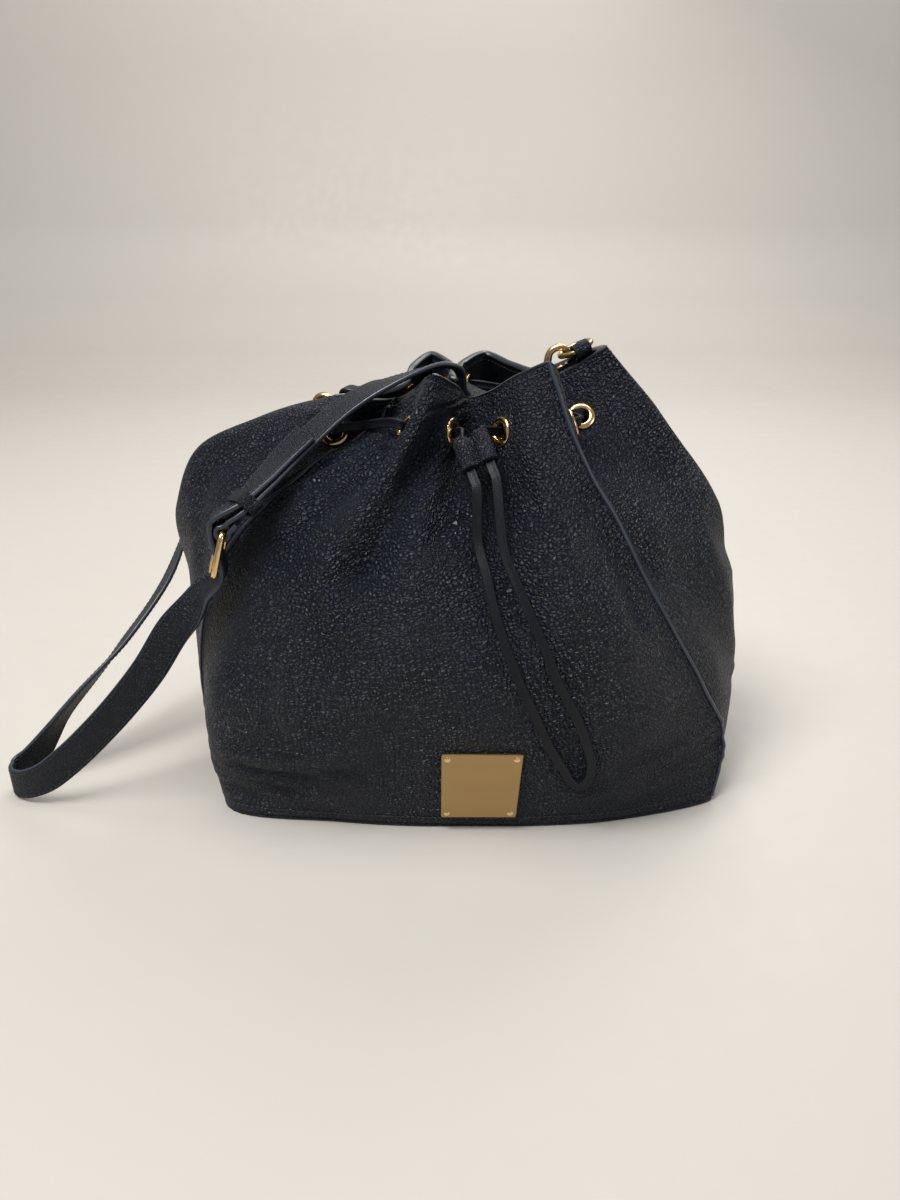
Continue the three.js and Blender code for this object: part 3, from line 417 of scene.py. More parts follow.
def turned_ring(profile, center, axis, segments=40):
    """Closed profile (radius, height) turned about an axis."""
    around, axis = spokes(axis, segments)
    return loft(place(profile, center, around, axis), closed=True)


def turned_solid(profile, center, axis, segments):
    """Profile (radius, height) whose two ends lie on the axis, turned about it."""
    around, axis = spokes(axis, segments)
    size = len(profile) - 2
    poles = [center + axis * profile[0][1], center + axis * profile[-1][1]]
    verts = np.vstack([place(profile[1:-1], center, around, axis).reshape(-1, 3), poles])
    bottom = segments * size
    faces = []
    for k in range(segments):
        a, b = k * size, (k + 1) % segments * size
        faces += [(a + q, a + q + 1, b + q + 1, b + q) for q in range(size - 1)]
        faces.append((bottom, a, b))
        faces.append((bottom + 1, b + size - 1, a + size - 1))
    return verts, faces


def rod(center, axis, radius, low, high, segments, bevel):
    profile = [(0, low), (radius - bevel, low), (radius, low + bevel),
               (radius, high - bevel), (radius - bevel, high), (0, high)]
    return turned_solid(profile, center, axis, segments)


def rounded_box(center, axes, size, radius):
    """Box along three axes with every edge cut by two chamfers."""
    hx, hy, hz = np.array(size) / 2
    r = min(radius, hx * .9, hy * .9, hz * .9)
    c = .29 * r
    section = with_half_turn([(hy - r, -hz), (hy - c, -hz + c), (hy, -hz + r),
                              (hy, hz - r), (hy - c, hz - c), (hy - r, hz)])
    rings = []
    for x, inset in ((-hx, r), (-hx + c, c), (-hx + r, 0), (hx - r, 0), (hx - c, c), (hx, r)):
        shrunk = np.copysign(np.maximum(np.abs(section) - inset, 0), section)
        rings.append(lay(shrunk, center + axes[0] * x, axes[1], axes[2]))
    return loft(rings)


def rounded_outline(corners, radius, steps=6):
    out = []
    for i, corner in enumerate(corners):
        start = corner + unit(corners[i - 1] - corner) * radius
        end = corner + unit(corners[(i + 1) % len(corners)] - corner) * radius
        for t in np.arange(steps + 1) / steps:
            out.append((1 - t) ** 2 * start + 2 * t * (1 - t) * corner + t ** 2 * end)
    return np.array(out)


# place along half a stitch, swell of its radius, and rise in radii
STITCH = np.array([(-1, .25, -.35), (-.8, .8, -.05), (0, 1, .1), (.8, .8, -.05), (1, .25, -.35)])
HEXAGON = np.array([(1, 0), (.5, .87), (-.5, .87), (-1, 0), (-.5, -.87), (.5, -.87)])


def stitches(line, normals, pitch=3.2, length=2.3, radius=.34, lift=.12):
    """Row of short rounded threads along a line, on the surface with these normals."""
    distance = np.r_[0, np.cumsum(np.linalg.norm(np.diff(line, axis=0), axis=1))]

    def sample(values, at):
        return np.stack([np.interp(at, distance, values[:, k]) for k in range(3)], 1)

    middle = (np.arange(int(distance[-1] / pitch)) + .5) * pitch
    chords = sample(line, middle + length / 2) - sample(line, middle - length / 2)
    axes, ups = unit(chords), unit(sample(normals, middle))
    sides = unit(np.cross(ups, axes))
    halves = np.linalg.norm(chords, axis=1) / 2
    reach, swell, rise = STITCH.T[:, :, None, None]
    y, z = HEXAGON.T[:, :, None]
    return join(
        loft(center + axis * (half * reach) + side * (y * radius * swell)
             + up * (z * radius * .8 * swell + lift + rise * radius))
        for center, axis, side, up, half in zip(sample(line, middle), axes, sides, ups, halves))


# ------------------------------------------------------------------ materials
class Shader:
    """A material's node tree, with short ways to add nodes. Inputs may be values or sockets."""

    def __init__(self, name):
        self.material = bpy.data.materials.new(name)
        self.material.use_nodes = True
        self.tree = self.material.node_tree
        self.surface = self.tree.nodes["Principled BSDF"]
        self.place = self.node("TexCoord").outputs["Object"]

    def feed(self, node, inputs):
        for key, value in inputs.items():
            if isinstance(value, bpy.types.NodeSocket):
                self.tree.links.new(value, node.inputs[key])
            else:
                node.inputs[key].default_value = value

    def node(self, kind, inputs=None, **settings):
        node = self.tree.nodes.new("ShaderNode" + kind)
        for key, value in settings.items():
            setattr(node, key, value)
        self.feed(node, inputs or {})
        return node

    def noise(self, vector, **inputs):
        return self.node("TexNoise", {"Vector": vector, **inputs})

    def mix_color(self, a, b, factor):
        return self.node("Mix", {6: (*a, 1), 7: (*b, 1), 0: factor}, data_type="RGBA").outputs[2]

    def remap(self, value, low, high, to_low=0., to_high=1.):
        return self.node("MapRange", {"From Min": low, "From Max": high, "To Min": to_low,
                                      "To Max": to_high, "Value": value}).outputs["Result"]

    def math(self, operation, a, b):
        return self.node("Math", {0: a, 1: b}, operation=operation).outputs[0]

    def bump(self, height, strength, distance, **inputs):
        return self.node("Bump", {"Strength": strength, "Distance": distance, "Height": height,
                                  **inputs}).outputs["Normal"]


def leather(name, crease_shade_color, light, cell, relief, depth, rough, specular):
    """Pebbled hide: rounded cells about cell mm across with soft creases between, fine pores and
    broad colour drift. Its colour holds painted shade, darkest in the creases, and a painted
    highlight on the pebble tops. relief and depth are the strength and distance (m) of the bump."""
    sh = Shader(name)
    place_ = sh.node("Mapping", {"Vector": sh.place}).outputs["Vector"]
    warp = sh.noise(place_, Scale=230.0, Detail=2.0).outputs["Color"]
    shift = sh.node("VectorMath", {0: warp, 1: (.5, .5, .5)}, operation="SUBTRACT").outputs[0]
    shift = sh.node("VectorMath", {"Scale": .0013 * cell, 0: shift}, operation="SCALE").outputs[0]
    warped = sh.node("VectorMath", {0: place_, 1: shift}, operation="ADD").outputs[0]
    # two sizes of pebble, mixed by a slow noise so that the grain is uneven
    large, small = [sh.node("TexVoronoi", {"Scale": 1000 / size, "Vector": warped},
                            feature="DISTANCE_TO_EDGE").outputs["Distance"]
                    for size in (cell, cell * .58)]
    cells = sh.node("TexVoronoi", {"Scale": 1000 / cell, "Vector": warped}).outputs["Color"]
    slow = sh.noise(place_, Scale=38.0, Detail=3.0).outputs["Fac"]
    large = sh.remap(large, 0.0, .34)
    small = sh.remap(small, 0.0, .30)
    large = sh.math("POWER", large, .55)
    small = sh.math("POWER", small, .6)
    share = sh.remap(slow, .40, .70, 0., .38)
    height = sh.node("Mix", {0: share, 2: large, 3: small}, data_type="FLOAT").outputs[0]
    height = sh.math("MULTIPLY", height, sh.remap(cells, 0, 1, .52, 1.0))
    pores = sh.noise(place_, Scale=3800.0, Detail=3.0, Roughness=.7).outputs["Fac"]
    drift = sh.noise(place_, Scale=14.0, Detail=4.0, Roughness=.6).outputs["Fac"]
    pebbles = sh.bump(height, strength=relief, distance=depth)
    normal = sh.bump(pores, strength=.25, distance=.00006, Normal=pebbles)
    # colour: painted shade in the creases and painted highlight on the pebble tops, following the pebble
    # height and dimmed by the real broad colour drift
    tone = sh.math("MULTIPLY", sh.math("POWER", height, 1.7),
                   sh.remap(drift, .3, .7, to_low=.65, to_high=1.0))
    color = sh.mix_color(crease_shade_color, light, tone)
    roughness = sh.math("ADD", sh.remap(height, 0, 1, to_low=rough + .16, to_high=rough),
                        sh.remap(drift, .3, .7, to_low=-.05, to_high=.06))
    sh.feed(sh.surface, {
        "Normal": normal, "Base Color": color, "Roughness": roughness,
        "Specular IOR Level": specular, "Sheen Weight": 0.,
        "Sheen Roughness": .45, "Sheen Tint": (.75, .82, 1, 1)})
    return sh.material


def plain(name, color, rough, metal=0., bump=.15, scale=900., vary=.25, coat=0.,
          stretch=(1, 1, 1), depth=.00008):
    """One colour with slow variation and a fine noise in its roughness and bump.
    scale sets the noise's fineness and stretch its proportions along x, y, z."""
    sh = Shader(name)
    place_ = sh.node("Mapping", {"Vector": sh.place, "Scale": stretch}).outputs["Vector"]
    fine = sh.noise(place_, Scale=scale, Detail=4.0).outputs["Fac"]
    slow = sh.noise(place_, Scale=scale * .06, Detail=3.0).outputs["Fac"]
    low = [c * (1 - vary) for c in color]
    high = [min(1, c * (1 + vary)) for c in color]
    sh.feed(sh.surface, {
        "Base Color": sh.mix_color(low, high, slow),
        "Roughness": sh.remap(fine, .3, .7, to_low=max(.02, rough - .06), to_high=rough + .07),
        "Metallic": metal, "Coat Weight": coat, "Coat Roughness": .15,
        "Specular IOR Level": .5,
        "Normal": sh.bump(fine, strength=bump, distance=depth)})
    return sh.material


def weave(name, color, pitch=.55):
    """Woven cloth with threads pitch mm apart."""
    sh = Shader(name)
    bands_x, bands_y, bands_z = [
        sh.node("TexWave", {"Scale": 1000 / pitch / 6.283, "Distortion": .6, "Vector": sh.place},
                wave_type="BANDS", bands_direction=axis).outputs["Fac"] for axis in "XYZ"]
    height = sh.math("MAXIMUM", sh.math("MULTIPLY", bands_x, bands_z),
                     sh.math("MULTIPLY", bands_y, bands_z))
    slow = sh.noise(sh.place, Scale=30.0, Detail=5.0).outputs["Fac"]
    tone = sh.math("MULTIPLY", sh.math("ADD", height, slow), .6)
    sh.feed(sh.surface, {
        "Base Color": sh.mix_color([c * .7 for c in color], [c * 1.15 for c in color], tone),
        "Roughness": .85,
        "Normal": sh.bump(height, strength=.4, distance=.0002)})
    return sh.material


# in each hide the first colour is the painted shade in the creases, the second the painted highlight on the
# pebble tops
BODY_HIDE = leather("pebbled_hide", crease_shade_color=(.0012, .0021, .0058), light=(.0170, .0255, .0500),
                    cell=2.5, relief=1.0, depth=.0028, rough=.34, specular=.30)
STRAP_HIDE = leather("strap_hide", crease_shade_color=(.0010, .0017, .0042), light=(.0120, .0175, .0330),
                     cell=1.6, relief=.8, depth=.0012, rough=.38, specular=.26)
CORD_HIDE = leather("cord_hide", crease_shade_color=(.0014, .0020, .0040), light=(.0085, .0115, .0200),
                    cell=.9, relief=.4, depth=.0004, rough=.36, specular=.26)
# real edge paint lightened into a painted highlight along the raised seam and strap edges; the darker copy
# below is the edge paint alone
EDGE_PAINT_WITH_HIGHLIGHT = plain("edge_paint_with_highlight", (.020, .025, .038), rough=.36, bump=.22, scale=1400, coat=.1)
DARK_EDGE_PAINT = plain("edge_paint_dark", (.0050, .0065, .0105), rough=.36, bump=.2,
                        scale=1400, coat=.1)
THREAD = plain("thread", (.015, .019, .030), rough=.55, bump=.5, scale=5200, depth=.00015)
FACING_HIDE = leather("facing_hide", crease_shade_color=(.0025, .0038, .0075), light=(.0070, .0100, .0180),
                      cell=.9, relief=.4, depth=.0003, rough=.5, specular=.35)
LINING_CLOTH = weave("lining_cloth", (.060, .055, .052))
BOARD = plain("board", (.05, .045, .04), rough=.8)
GOLD = plain("polished_gold", (.80, .56, .27), rough=.17, metal=1., bump=.05, scale=600, vary=.05)
# painted shade: a darker copy of the gold for the hooks, rings and swivels in the mouth and the washers
# inside the wall
SHADED_GOLD = plain("shaded_gold", (.50, .35, .17), rough=.27, metal=1., bump=.12, scale=800, vary=.22)
PLATE_METAL = plain("brushed_plate", (.40, .265, .12), rough=.36, metal=1., bump=.10, scale=260,
                    vary=.10, stretch=(.15, 1, 5), depth=.00004)
# painted shade: dark metal lining the inside of each eyelet's hole
BORE_SHADE_METAL = plain("eyelet_bore_shade", (.10, .065, .03), rough=.5, metal=1., bump=.1, scale=900, vary=.2)

# ------------------------------------------------------------------ dense wall with its relief
PER_COLUMN = 20  # grid columns to a key column
AROUND = COLUMNS * PER_COLUMN
ROW_T = np.r_[np.linspace(.0105, .2, 34)[:-1], np.linspace(.2, 1, 117)]
ROWS = len(ROW_T)
COLUMN_U = np.arange(AROUND) / PER_COLUMN
U, T = np.meshgrid(COLUMN_U, ROW_T, indexing="ij")
SMOOTH = wall(COLUMN_U, ROW_T)
ARC = np.cumsum(np.linalg.norm(np.roll(SMOOTH, -1, 0) - SMOOTH, axis=2), 0)  # mm round each row


def soft_normals(grid, rounds):
    """Normals of the wall grid, blurred a number of times."""
    normals = unit(np.cross(np.roll(grid, -1, 0) - np.roll(grid, 1, 0), np.gradient(grid, axis=1)))
    for _ in range(rounds):
        normals = (np.roll(normals, 1, 0) + np.roll(normals, -1, 0) + 2 * normals) / 4
        inner = (normals[:, :-2] + normals[:, 2:] + 2 * normals[:, 1:-1]) / 4
        normals = np.concatenate([normals[:, :1], inner, normals[:, -1:]], axis=1)
    return unit(normals)


SMOOTH_NORMALS = soft_normals(SMOOTH, 3)


def column_gap(u):
    return np.abs((U - u + COLUMNS / 2) % COLUMNS - COLUMNS / 2)


def near_u(u, width):
    return np.exp(-(column_gap(u) / width) ** 2)


# long folds: (u, t) along the fold, width, height (below 0 is a valley)
FOLDS = [
    # ridge sweeping down from the left crest, and the valleys either side of it
    ([(22.9, .97), (22.75, .85), (22.6, .75), (22.45, .64), (22.5, .54), (22.8, .45),
      (23.2, .38)], 9.0, 5.5),
    ([(24.05, .95), (23.75, .85), (23.4, .76), (23.05, .66), (22.85, .58), (22.95, .50)], 9.5, -8.0),
    ([(22.2, .92), (22.05, .82), (21.9, .73), (21.85, .62), (22.0, .52)], 9.0, -5.0),
    # hollow beside the cord stop, and the swell and hollow to the right of it
    ([(24.9, .95), (24.85, .82), (24.6, .70), (24.3, .60)], 8.0, -5.0),
    ([(1.75, .95), (1.6, .80), (1.5, .66), (1.35, .54), (1.1, .44)], 12.0, 4.0),
    ([(2.55, .80), (2.6, .66), (2.55, .52), (2.4, .40)], 8.0, -3.6),
    # right side
    ([(4.6, .93), (4.3, .80), (4.0, .68), (3.8, .55), (3.75, .44)], 8.0, -4.0),
    ([(5.6, .90), (5.3, .76), (5.0, .62), (4.7, .50)], 9.0, 2.6),
    ([(6.6, .86), (6.2, .72), (5.9, .58), (5.6, .46)], 8.0, -2.2),
    # left shoulder
    ([(19.4, .80), (19.9, .68), (20.3, .56), (20.5, .45)], 9.0, -2.4),
    ([(20.6, .72), (20.8, .60), (21.0, .48)], 8.0, 2.4),
    # back
    ([(11.0, .92), (11.0, .76), (11.2, .60)], 9.0, 3.0),
    ([(15.0, .92), (15.0, .76), (14.8, .60)], 9.0, 3.0),
    ([(13.0, .95), (13.0, .80), (13.0, .64)], 9.0, -4.0),
    ([(9.1, .93), (9.2, .78), (9.4, .62)], 8.0, -3.5),
    ([(17.0, .93), (16.9, .78), (16.7, .62)], 8.0, -3.5),
]
# patches of creases: u, its spread, t, its spread, pitch, height, lean, noise seed
WRINKLES = [
    # low on the wall, where the sides sag
    (22.5, .75, .13, .085, 9.0, 1.5, .5, 21),
    (23.2, .6, .20, .08, 12.0, .9, -.6, 23),
    (2.5, .7, .16, .10, 9.0, 1.4, -.8, 25),
    (1.6, .6, .12, .07, 11.0, .9, .4, 27),
    (20.2, .9, .16, .10, 10.0, 1.3, .3, 29),
    (6.5, 1.3, .18, .10, 12.0, 1.2, .2, 31),
    (17.0, .9, .15, .09, 11.0, 1.1, .2, 33),
    (9.3, .9, .15, .09, 11.0, 1.1, -.2, 35),
    # higher: left of the front, and the right side
    (22.7, .8, .38, .16, 26.0, 1.3, 1.2, 37),
    (7.0, 1.2, .55, .16, 24.0, 1.2, .4, 39),
]
# u and spread of the places where the mouth is gathered
GATHERS = [(0, .9), (5, .9), (9, .9), (13, 1.1), (17, 1.0), (21.2, .9), (1.2, .7), (24, .7)]


def fold(path, width, height, steps=12, taper=.25):
    """Ridge along a path on the wall, fading out over its two ends."""
    points = []
    for (u0, t0), (u1, t1) in zip(path, path[1:]):
        points += [(u0 + (u1 - u0) * k, t0 + (t1 - t0) * k) for k in np.arange(steps) / steps]
    points.append(path[-1])
    nearest = np.full(T.shape, 1e9)
    index = np.zeros(T.shape, int)
    for i, (u, t) in enumerate(points):
        squared = ((SMOOTH - wall_point(u, t)) ** 2).sum(-1)
        closer = squared < nearest
        nearest[closer] = squared[closer]
        index[closer] = i
    s = index / (len(points) - 1)
    ends = smoothstep(s / taper) * smoothstep((1 - s) / taper)
    return height * ends * np.exp(-nearest / width ** 2)


def wrinkle(u, u_spread, t, t_spread, pitch, height, lean, seed):
    patch = near_u(u, u_spread) * np.exp(-((T - t) / t_spread) ** 2)
    level = SMOOTH[..., 2] + lean * (U - u) * 10
    layer = np.full(T.shape, float(seed))
    creases = noise(np.stack([ARC / 34, level / pitch, layer], -1), seed)
    finer = noise(np.stack([ARC / 19, level / (pitch * .55), layer], -1), seed + 1)
    return height * patch * (1 - 2 * np.abs(creases) + .5 * finer)


def gathering():
    """Folds that run down from the gathered mouth."""
    flat = np.zeros(T.shape)
    coarse = noise(np.stack([ARC / 7.0, T * 2.2, flat], -1), 8)
    fine = noise(np.stack([ARC / 3.1, T * 3.5, flat + 4], -1), 9)
    amount = np.clip(sum(near_u(*place_) for place_ in GATHERS), 0, 1) * smoothstep((T - .58) / .2)
    mix = 1.3 * coarse + (.6 + .8 * near_u(.6, .7)) * fine
    return mix * amount * (1 - smoothstep((T - .96) / .04))


def relief():
    """Height of the soft leather above the smooth wall."""
    fade = smoothstep(T / .10) * (1 - smoothstep((T - .93) / .07))
    height = 1.5 * noise(SMOOTH / 46.0, 3) * fade
    height += .55 * noise(SMOOTH / 21.0, 5) * fade
    height += gathering()
    for row in WRINKLES:
        height += wrinkle(*row)
    for row in FOLDS:
        height += fold(*row)
    height *= smoothstep((PLATE_DISTANCE - 26) / 26)
    for u in SEAMS:  # leather pulled to a slight ridge along the seams
        height += .5 * near_u(u, .10) * fade
    return height


def split(points, center, axis):
    """Height along an axis through center, and distance from it."""
    offset = points - center
    along = offset @ axis
    return along, np.sqrt(np.maximum((offset ** 2).sum(-1) - along ** 2, 0))


def flatten(skin):
    """Press the skin flat under the plate and round each eyelet."""
    height = (skin - PLATE_CENTER) @ PLATE_OUT + 1.15
    weight = (1 - smoothstep((PLATE_DISTANCE - 30) / 22)) * smoothstep(1 - column_gap(.15) / 3)
    skin = skin - (height * weight)[..., None] * PLATE_OUT
    for _, center, normal in EYELETS:
        along, radius = split(skin, center, normal)
        weight = ((1 - smoothstep((radius - 7.6) / 8.5)) * (np.abs(along) < 9)
                  * ((SMOOTH_NORMALS @ normal) > .25))
        skin = skin - (weight * (along + .15))[..., None] * normal
    return skin


PLATE_DISTANCE = np.linalg.norm(SMOOTH - PLATE_CENTER, axis=2)
SKIN = flatten(SMOOTH + SMOOTH_NORMALS * relief()[..., None])
NORMALS = soft_normals(SKIN, 1)

# ------------------------------------------------------------------ body
HIDE = 2.2  # thickness of the wall leather


def clear_of_eyelets(points):
    clear = np.ones(points.shape[:-1], bool)
    for _, center, normal in EYELETS:
        along, radius = split(points, center, normal)
        clear &= ~((radius < 4.6) & (np.abs(along) < 6))
    return clear


def shell(columns, rows, outer, inner, closed=False):
    """Closed sheet between two offsets of the skin, left open where an eyelet passes."""
    skin, normals = SKIN[columns][:, rows], NORMALS[columns][:, rows]
    outside, inside = skin + normals * outer, skin + normals * inner
    across, up = skin.shape[:2]
    total = across * up
    after = np.roll(outside, -1, 0)
    clear = clear_of_eyelets((outside[:, :-1] + after[:, :-1] + outside[:, 1:] + after[:, 1:]) / 4)
    faces, border = [], {}
    for i in range(across if closed else across - 1):
        a, b = i * up, (i + 1) % across * up
        for j in np.flatnonzero(clear[i]).tolist():
            quad = (a + j, b + j, b + j + 1, a + j + 1)
            faces += [quad, tuple(x + total for x in quad[::-1])]
            for edge in zip(quad, quad[1:] + quad[:1]):
                if edge[::-1] in border:
                    del border[edge[::-1]]
                else:
                    border[edge] = True
    faces = np.array(faces + [(b, a, a + total, b + total) for a, b in border])
    used = np.zeros(2 * total, bool)
    used[faces] = True
    verts = np.concatenate([outside.reshape(-1, 3), inside.reshape(-1, 3)])
    return verts[used], (np.cumsum(used) - 1)[faces]


def grid_column(u):
    return int(round(u * PER_COLUMN))


def wall_panels():
    for name, start, end in (("front_panel", FRONT_LEFT, FRONT_RIGHT + COLUMNS),
                             ("right_gusset", FRONT_RIGHT, BACK_RIGHT),
                             ("back_panel", BACK_RIGHT, BACK_LEFT),
                             ("left_gusset", BACK_LEFT, FRONT_LEFT)):
        columns = [i % AROUND for i in range(grid_column(start), grid_column(end) + 1)]
        build("hide_" + name, shell(columns, slice(None), 0, -HIDE), [BODY_HIDE], "bag", name,
              angle=50)


def slab(outline, bottom, top, radius, inset=0.):
    """Flat slab on an outline, with rounded edges."""
    tangent = unit(np.roll(outline, -1, 0) - np.roll(outline, 1, 0))
    outward = np.stack([tangent[:, 1], -tangent[:, 0], 0 * tangent[:, 0]], 1)
    rings = []
    for z, grow in ((bottom, -radius), (bottom + radius * .3, -radius * .3), (bottom + radius, 0),
                    (top - radius, 0), (top - radius * .3, -radius * .3), (top, -radius)):
        ring = outline + outward * (grow - inset)
        ring[:, 2] = z
        rings.append(ring)
    return loft(rings)


def base():
    outline = wall(np.arange(0, COLUMNS, .1), [.006])[:, 0]
    build("hide_base", slab(outline, bottom=0.0, top=3.15, radius=.9), [BODY_HIDE], "bag",
          "base_panel")
    outline = wall(np.arange(0, COLUMNS, .25), [.012])[:, 0]
    build("stiffener", slab(outline, bottom=3.4, top=5.5, radius=.5, inset=3.9), [BOARD], "bag",
          "base_board")


def lining():
    """Thin cup inside the wall, with a floor of triangles meeting at two middle points."""
    rows = np.flatnonzero((ROW_T > .02) & (ROW_T < .775))[::3]
    skin, normals = SKIN[::4][:, rows], NORMALS[::4][:, rows]
    outer, inner = skin - normals * 2.9, skin - normals * 3.7
    outer[:, 0, 2], inner[:, 0, 2] = 6.0, 7.0
    across, up = skin.shape[:2]
    total = across * up
    verts = np.concatenate([outer.reshape(-1, 3), inner.reshape(-1, 3), [(0, 5, 6.0), (0, 5, 7.0)]])
    faces = []
    for i in range(across):
        a, b = i * up, (i + 1) % across * up
        for j in range(up - 1):
            quad = (a + j, b + j, b + j + 1, a + j + 1)
            faces.append(quad)
            faces.append(tuple(total + quad[k] for k in (0, 3, 2, 1)))
        faces.append((a + up - 1, b + up - 1, total + b + up - 1, total + a + up - 1))
        faces.append((2 * total, b, a))
        faces.append((2 * total + 1, total + a, total + b))
    build("lining_cup", (verts, faces), [LINING_CLOTH], "bag", "lining")


def rim_facing():
    build("rim_band", shell(slice(None), ROW_T > .79, -2.35, -3.9, closed=True), [FACING_HIDE],
          "bag", "rim_facing", angle=50)


def seam_edges():
    """Painted edges standing proud along the seams, lightened as a painted highlight."""
    welts = []
    for u, r in zip(SEAMS, (1.25, 1.1, 1.1, 1.2)):
        i = grid_column(u)
        normals = NORMALS[i]
        line = SKIN[i] + normals * .35
        sides = unit(np.cross(normals, unit(np.gradient(line, axis=0))))
        section = [(-r, -.7), (r, -.7), (r * 1.02, .15), (r * .7, .62), (0, .82),
                   (-r * .7, .62), (-r * 1.02, .15)]
        welts.append(loft(place(section, line, sides, normals)))
    build("seam_edges", join(welts), [EDGE_PAINT_WITH_HIGHLIGHT], "bag", None)


def mouth_edge():
    """Painted edge all round the mouth, capping wall and facing."""
    upward = unit(SKIN[:, -1] - SKIN[:, -4])
    sides = unit(NORMALS[:, -1])
    top = SKIN[:, -1] - NORMALS[:, -1] * 1.95 + upward * .05
    top = (np.roll(top, 1, 0) + np.roll(top, -1, 0) + 2 * top) / 4
    ups = unit(np.cross(sides, unit(np.roll(top, -1, 0) - np.roll(top, 1, 0))))
    ups *= np.sign((ups * upward).sum(1, keepdims=True))
    section = [(-2.15, -.5), (2.15, -.5), (2.2, .1), (1.7, .62), (.8, .85),
               (-.8, .85), (-1.7, .62), (-2.2, .1)]
    build("mouth_edge", loft(place(section, top, sides, ups), closed=True), [DARK_EDGE_PAINT],
          "bag", None)


def line_beside(u, offset):
    """Line and normals up the wall, offset mm round it from column u."""
    step = 1 if offset > 0 else -1
    line, normals = [], []
    for j in range(2, ROWS - 4):
        run, i = 0., grid_column(u)
        while run < abs(offset):
            before, i = i, (i + step) % AROUND
            gap = np.linalg.norm(SKIN[i, j] - SKIN[before, j])
            run += gap
        back = (run - abs(offset)) / gap
        line.append(SKIN[i, j] * (1 - back) + SKIN[before, j] * back)
        normals.append(NORMALS[i, j])
    return np.array(line), np.array(normals)


def line_below_mouth(depth, offset, facing):
    """Closed line and normals depth below the mouth, offset from the skin."""
    line, normals = [], []
    for i in range(AROUND):
        run, j = 0., ROWS - 1
        while run < depth:
            gap = np.linalg.norm(SKIN[i, j] - SKIN[i, j - 1])
            run += gap
            j -= 1
        back = (run - depth) / gap
        line.append(SKIN[i, j] * (1 - back) + SKIN[i, j + 1] * back + NORMALS[i, j] * offset)
        normals.append(NORMALS[i, j] * facing)
    return np.array(line + line[:1]), np.array(normals + normals[:1])


def wall_stitches():
    beside = [(FRONT_RIGHT, -3.6), (FRONT_LEFT, 3.6), (BACK_RIGHT, 3.6), (BACK_LEFT, -3.6),
              (FRONT_RIGHT, 3.4), (FRONT_LEFT, -3.4)]
    rows = [stitches(*line_beside(u, offset)) for u, offset in beside]
    for offset, facing in ((0, 1), (-3.9, -1)):  # outside, then inside on the facing
        rows.append(stitches(*line_below_mouth(4.2, offset, facing)))
    low = int(np.argmin(np.abs(ROW_T - .026)))  # row just above the base
    rows.append(stitches(np.vstack([SKIN[:, low], SKIN[:1, low]]),
                         np.vstack([NORMALS[:, low], NORMALS[:1, low]])))
    build("stitch_rows", join(rows), [THREAD], "bag", None)


wall_panels()
base()
lining()
rim_facing()
seam_edges()
mouth_edge()
wall_stitches()

# ------------------------------------------------------------------ eyelets and front plate
# radius, height outward from the leather
GROMMET = [
    (4.2, -5.5), (4.5, -5.9), (5.4, -6.0), (6.2, -5.7), (6.4, -5.3), (5.3, -5.0), (5.1, -4.6),
    (5.1, -.1), (8.1, -.1), (8.35, .15), (8.3, .5), (7.8, 1.0), (6.9, 1.4), (5.8, 1.55),
    (4.9, 1.35), (4.35, .8), (4.2, 0)]
WASHER = [(5.4, -4.7), (6.8, -4.7), (7.1, -4.5), (7.1, -4.15), (6.8, -4.0), (5.4, -4.0)]
PIN = [(0, -3.6), (.8, -3.6), (.8, .86), (1.75, .86), (1.8, 1.05), (1.55, 1.35), (.9, 1.6),
       (0, 1.68)]


def eyelets():
    for name, center, normal in EYELETS:
        mesh = turned_ring(GROMMET, center, normal, 48)
        along, radius = split(mesh[0], center, normal)
        # faces inside the hole take the dark metal, painted shade in the bore
        shaded_bore_faces = [int(along[list(f)].mean() < .7 and radius[list(f)].mean() < 4.9) for f in mesh[1]]
        build("grommet_" + name, mesh, [GOLD, BORE_SHADE_METAL], "bag", "eyelet_" + name,
              angle=50, face_materials=shaded_bore_faces)
        build("backing_" + name, turned_ring(WASHER, center, normal), [SHADED_GOLD], "bag",
              "washer_" + name)


def front_plate():
    """Four-cornered plate, a little wider at the top, held by a pin in each corner."""
    up = unit(np.cross(PLATE_OUT, X_AXIS))
    corners = np.array([[-23.5, -24.5], [21.0, -24.5], [23.5, 24.5], [-23.0, 24.5]])
    pins = corners - np.sign(corners) * 3.5
    toward = np.sign(corners - corners.mean(0))
    rings = []
    for inset, height in ((.25, -.9), (0, -.65), (0, .35), (.35, .72), (1.0, .9), (1.5, .86),
                          (2.1, .86)):
        outline = rounded_outline(corners - toward * inset, 1.3)
        rings.append(lay(outline, PLATE_CENTER + PLATE_OUT * height, X_AXIS, up))
    build("front_tag", loft(rings), [PLATE_METAL], "bag", "front_plate", angle=24)
    for i, center in enumerate(lay(pins, PLATE_CENTER, X_AXIS, up), 1):
        build("tag_rivet_%d" % i, turned_solid(PIN, center, PLATE_OUT, 24), [GOLD], "bag",
              "plate_pin_%d" % i)


eyelets()
front_plate()

# ------------------------------------------------------------------ drawstring
HOLE_LEFT, HOLE_RIGHT = STOP_CENTER - STOP_ACROSS * 5.6, STOP_CENTER + STOP_ACROSS * 5.6
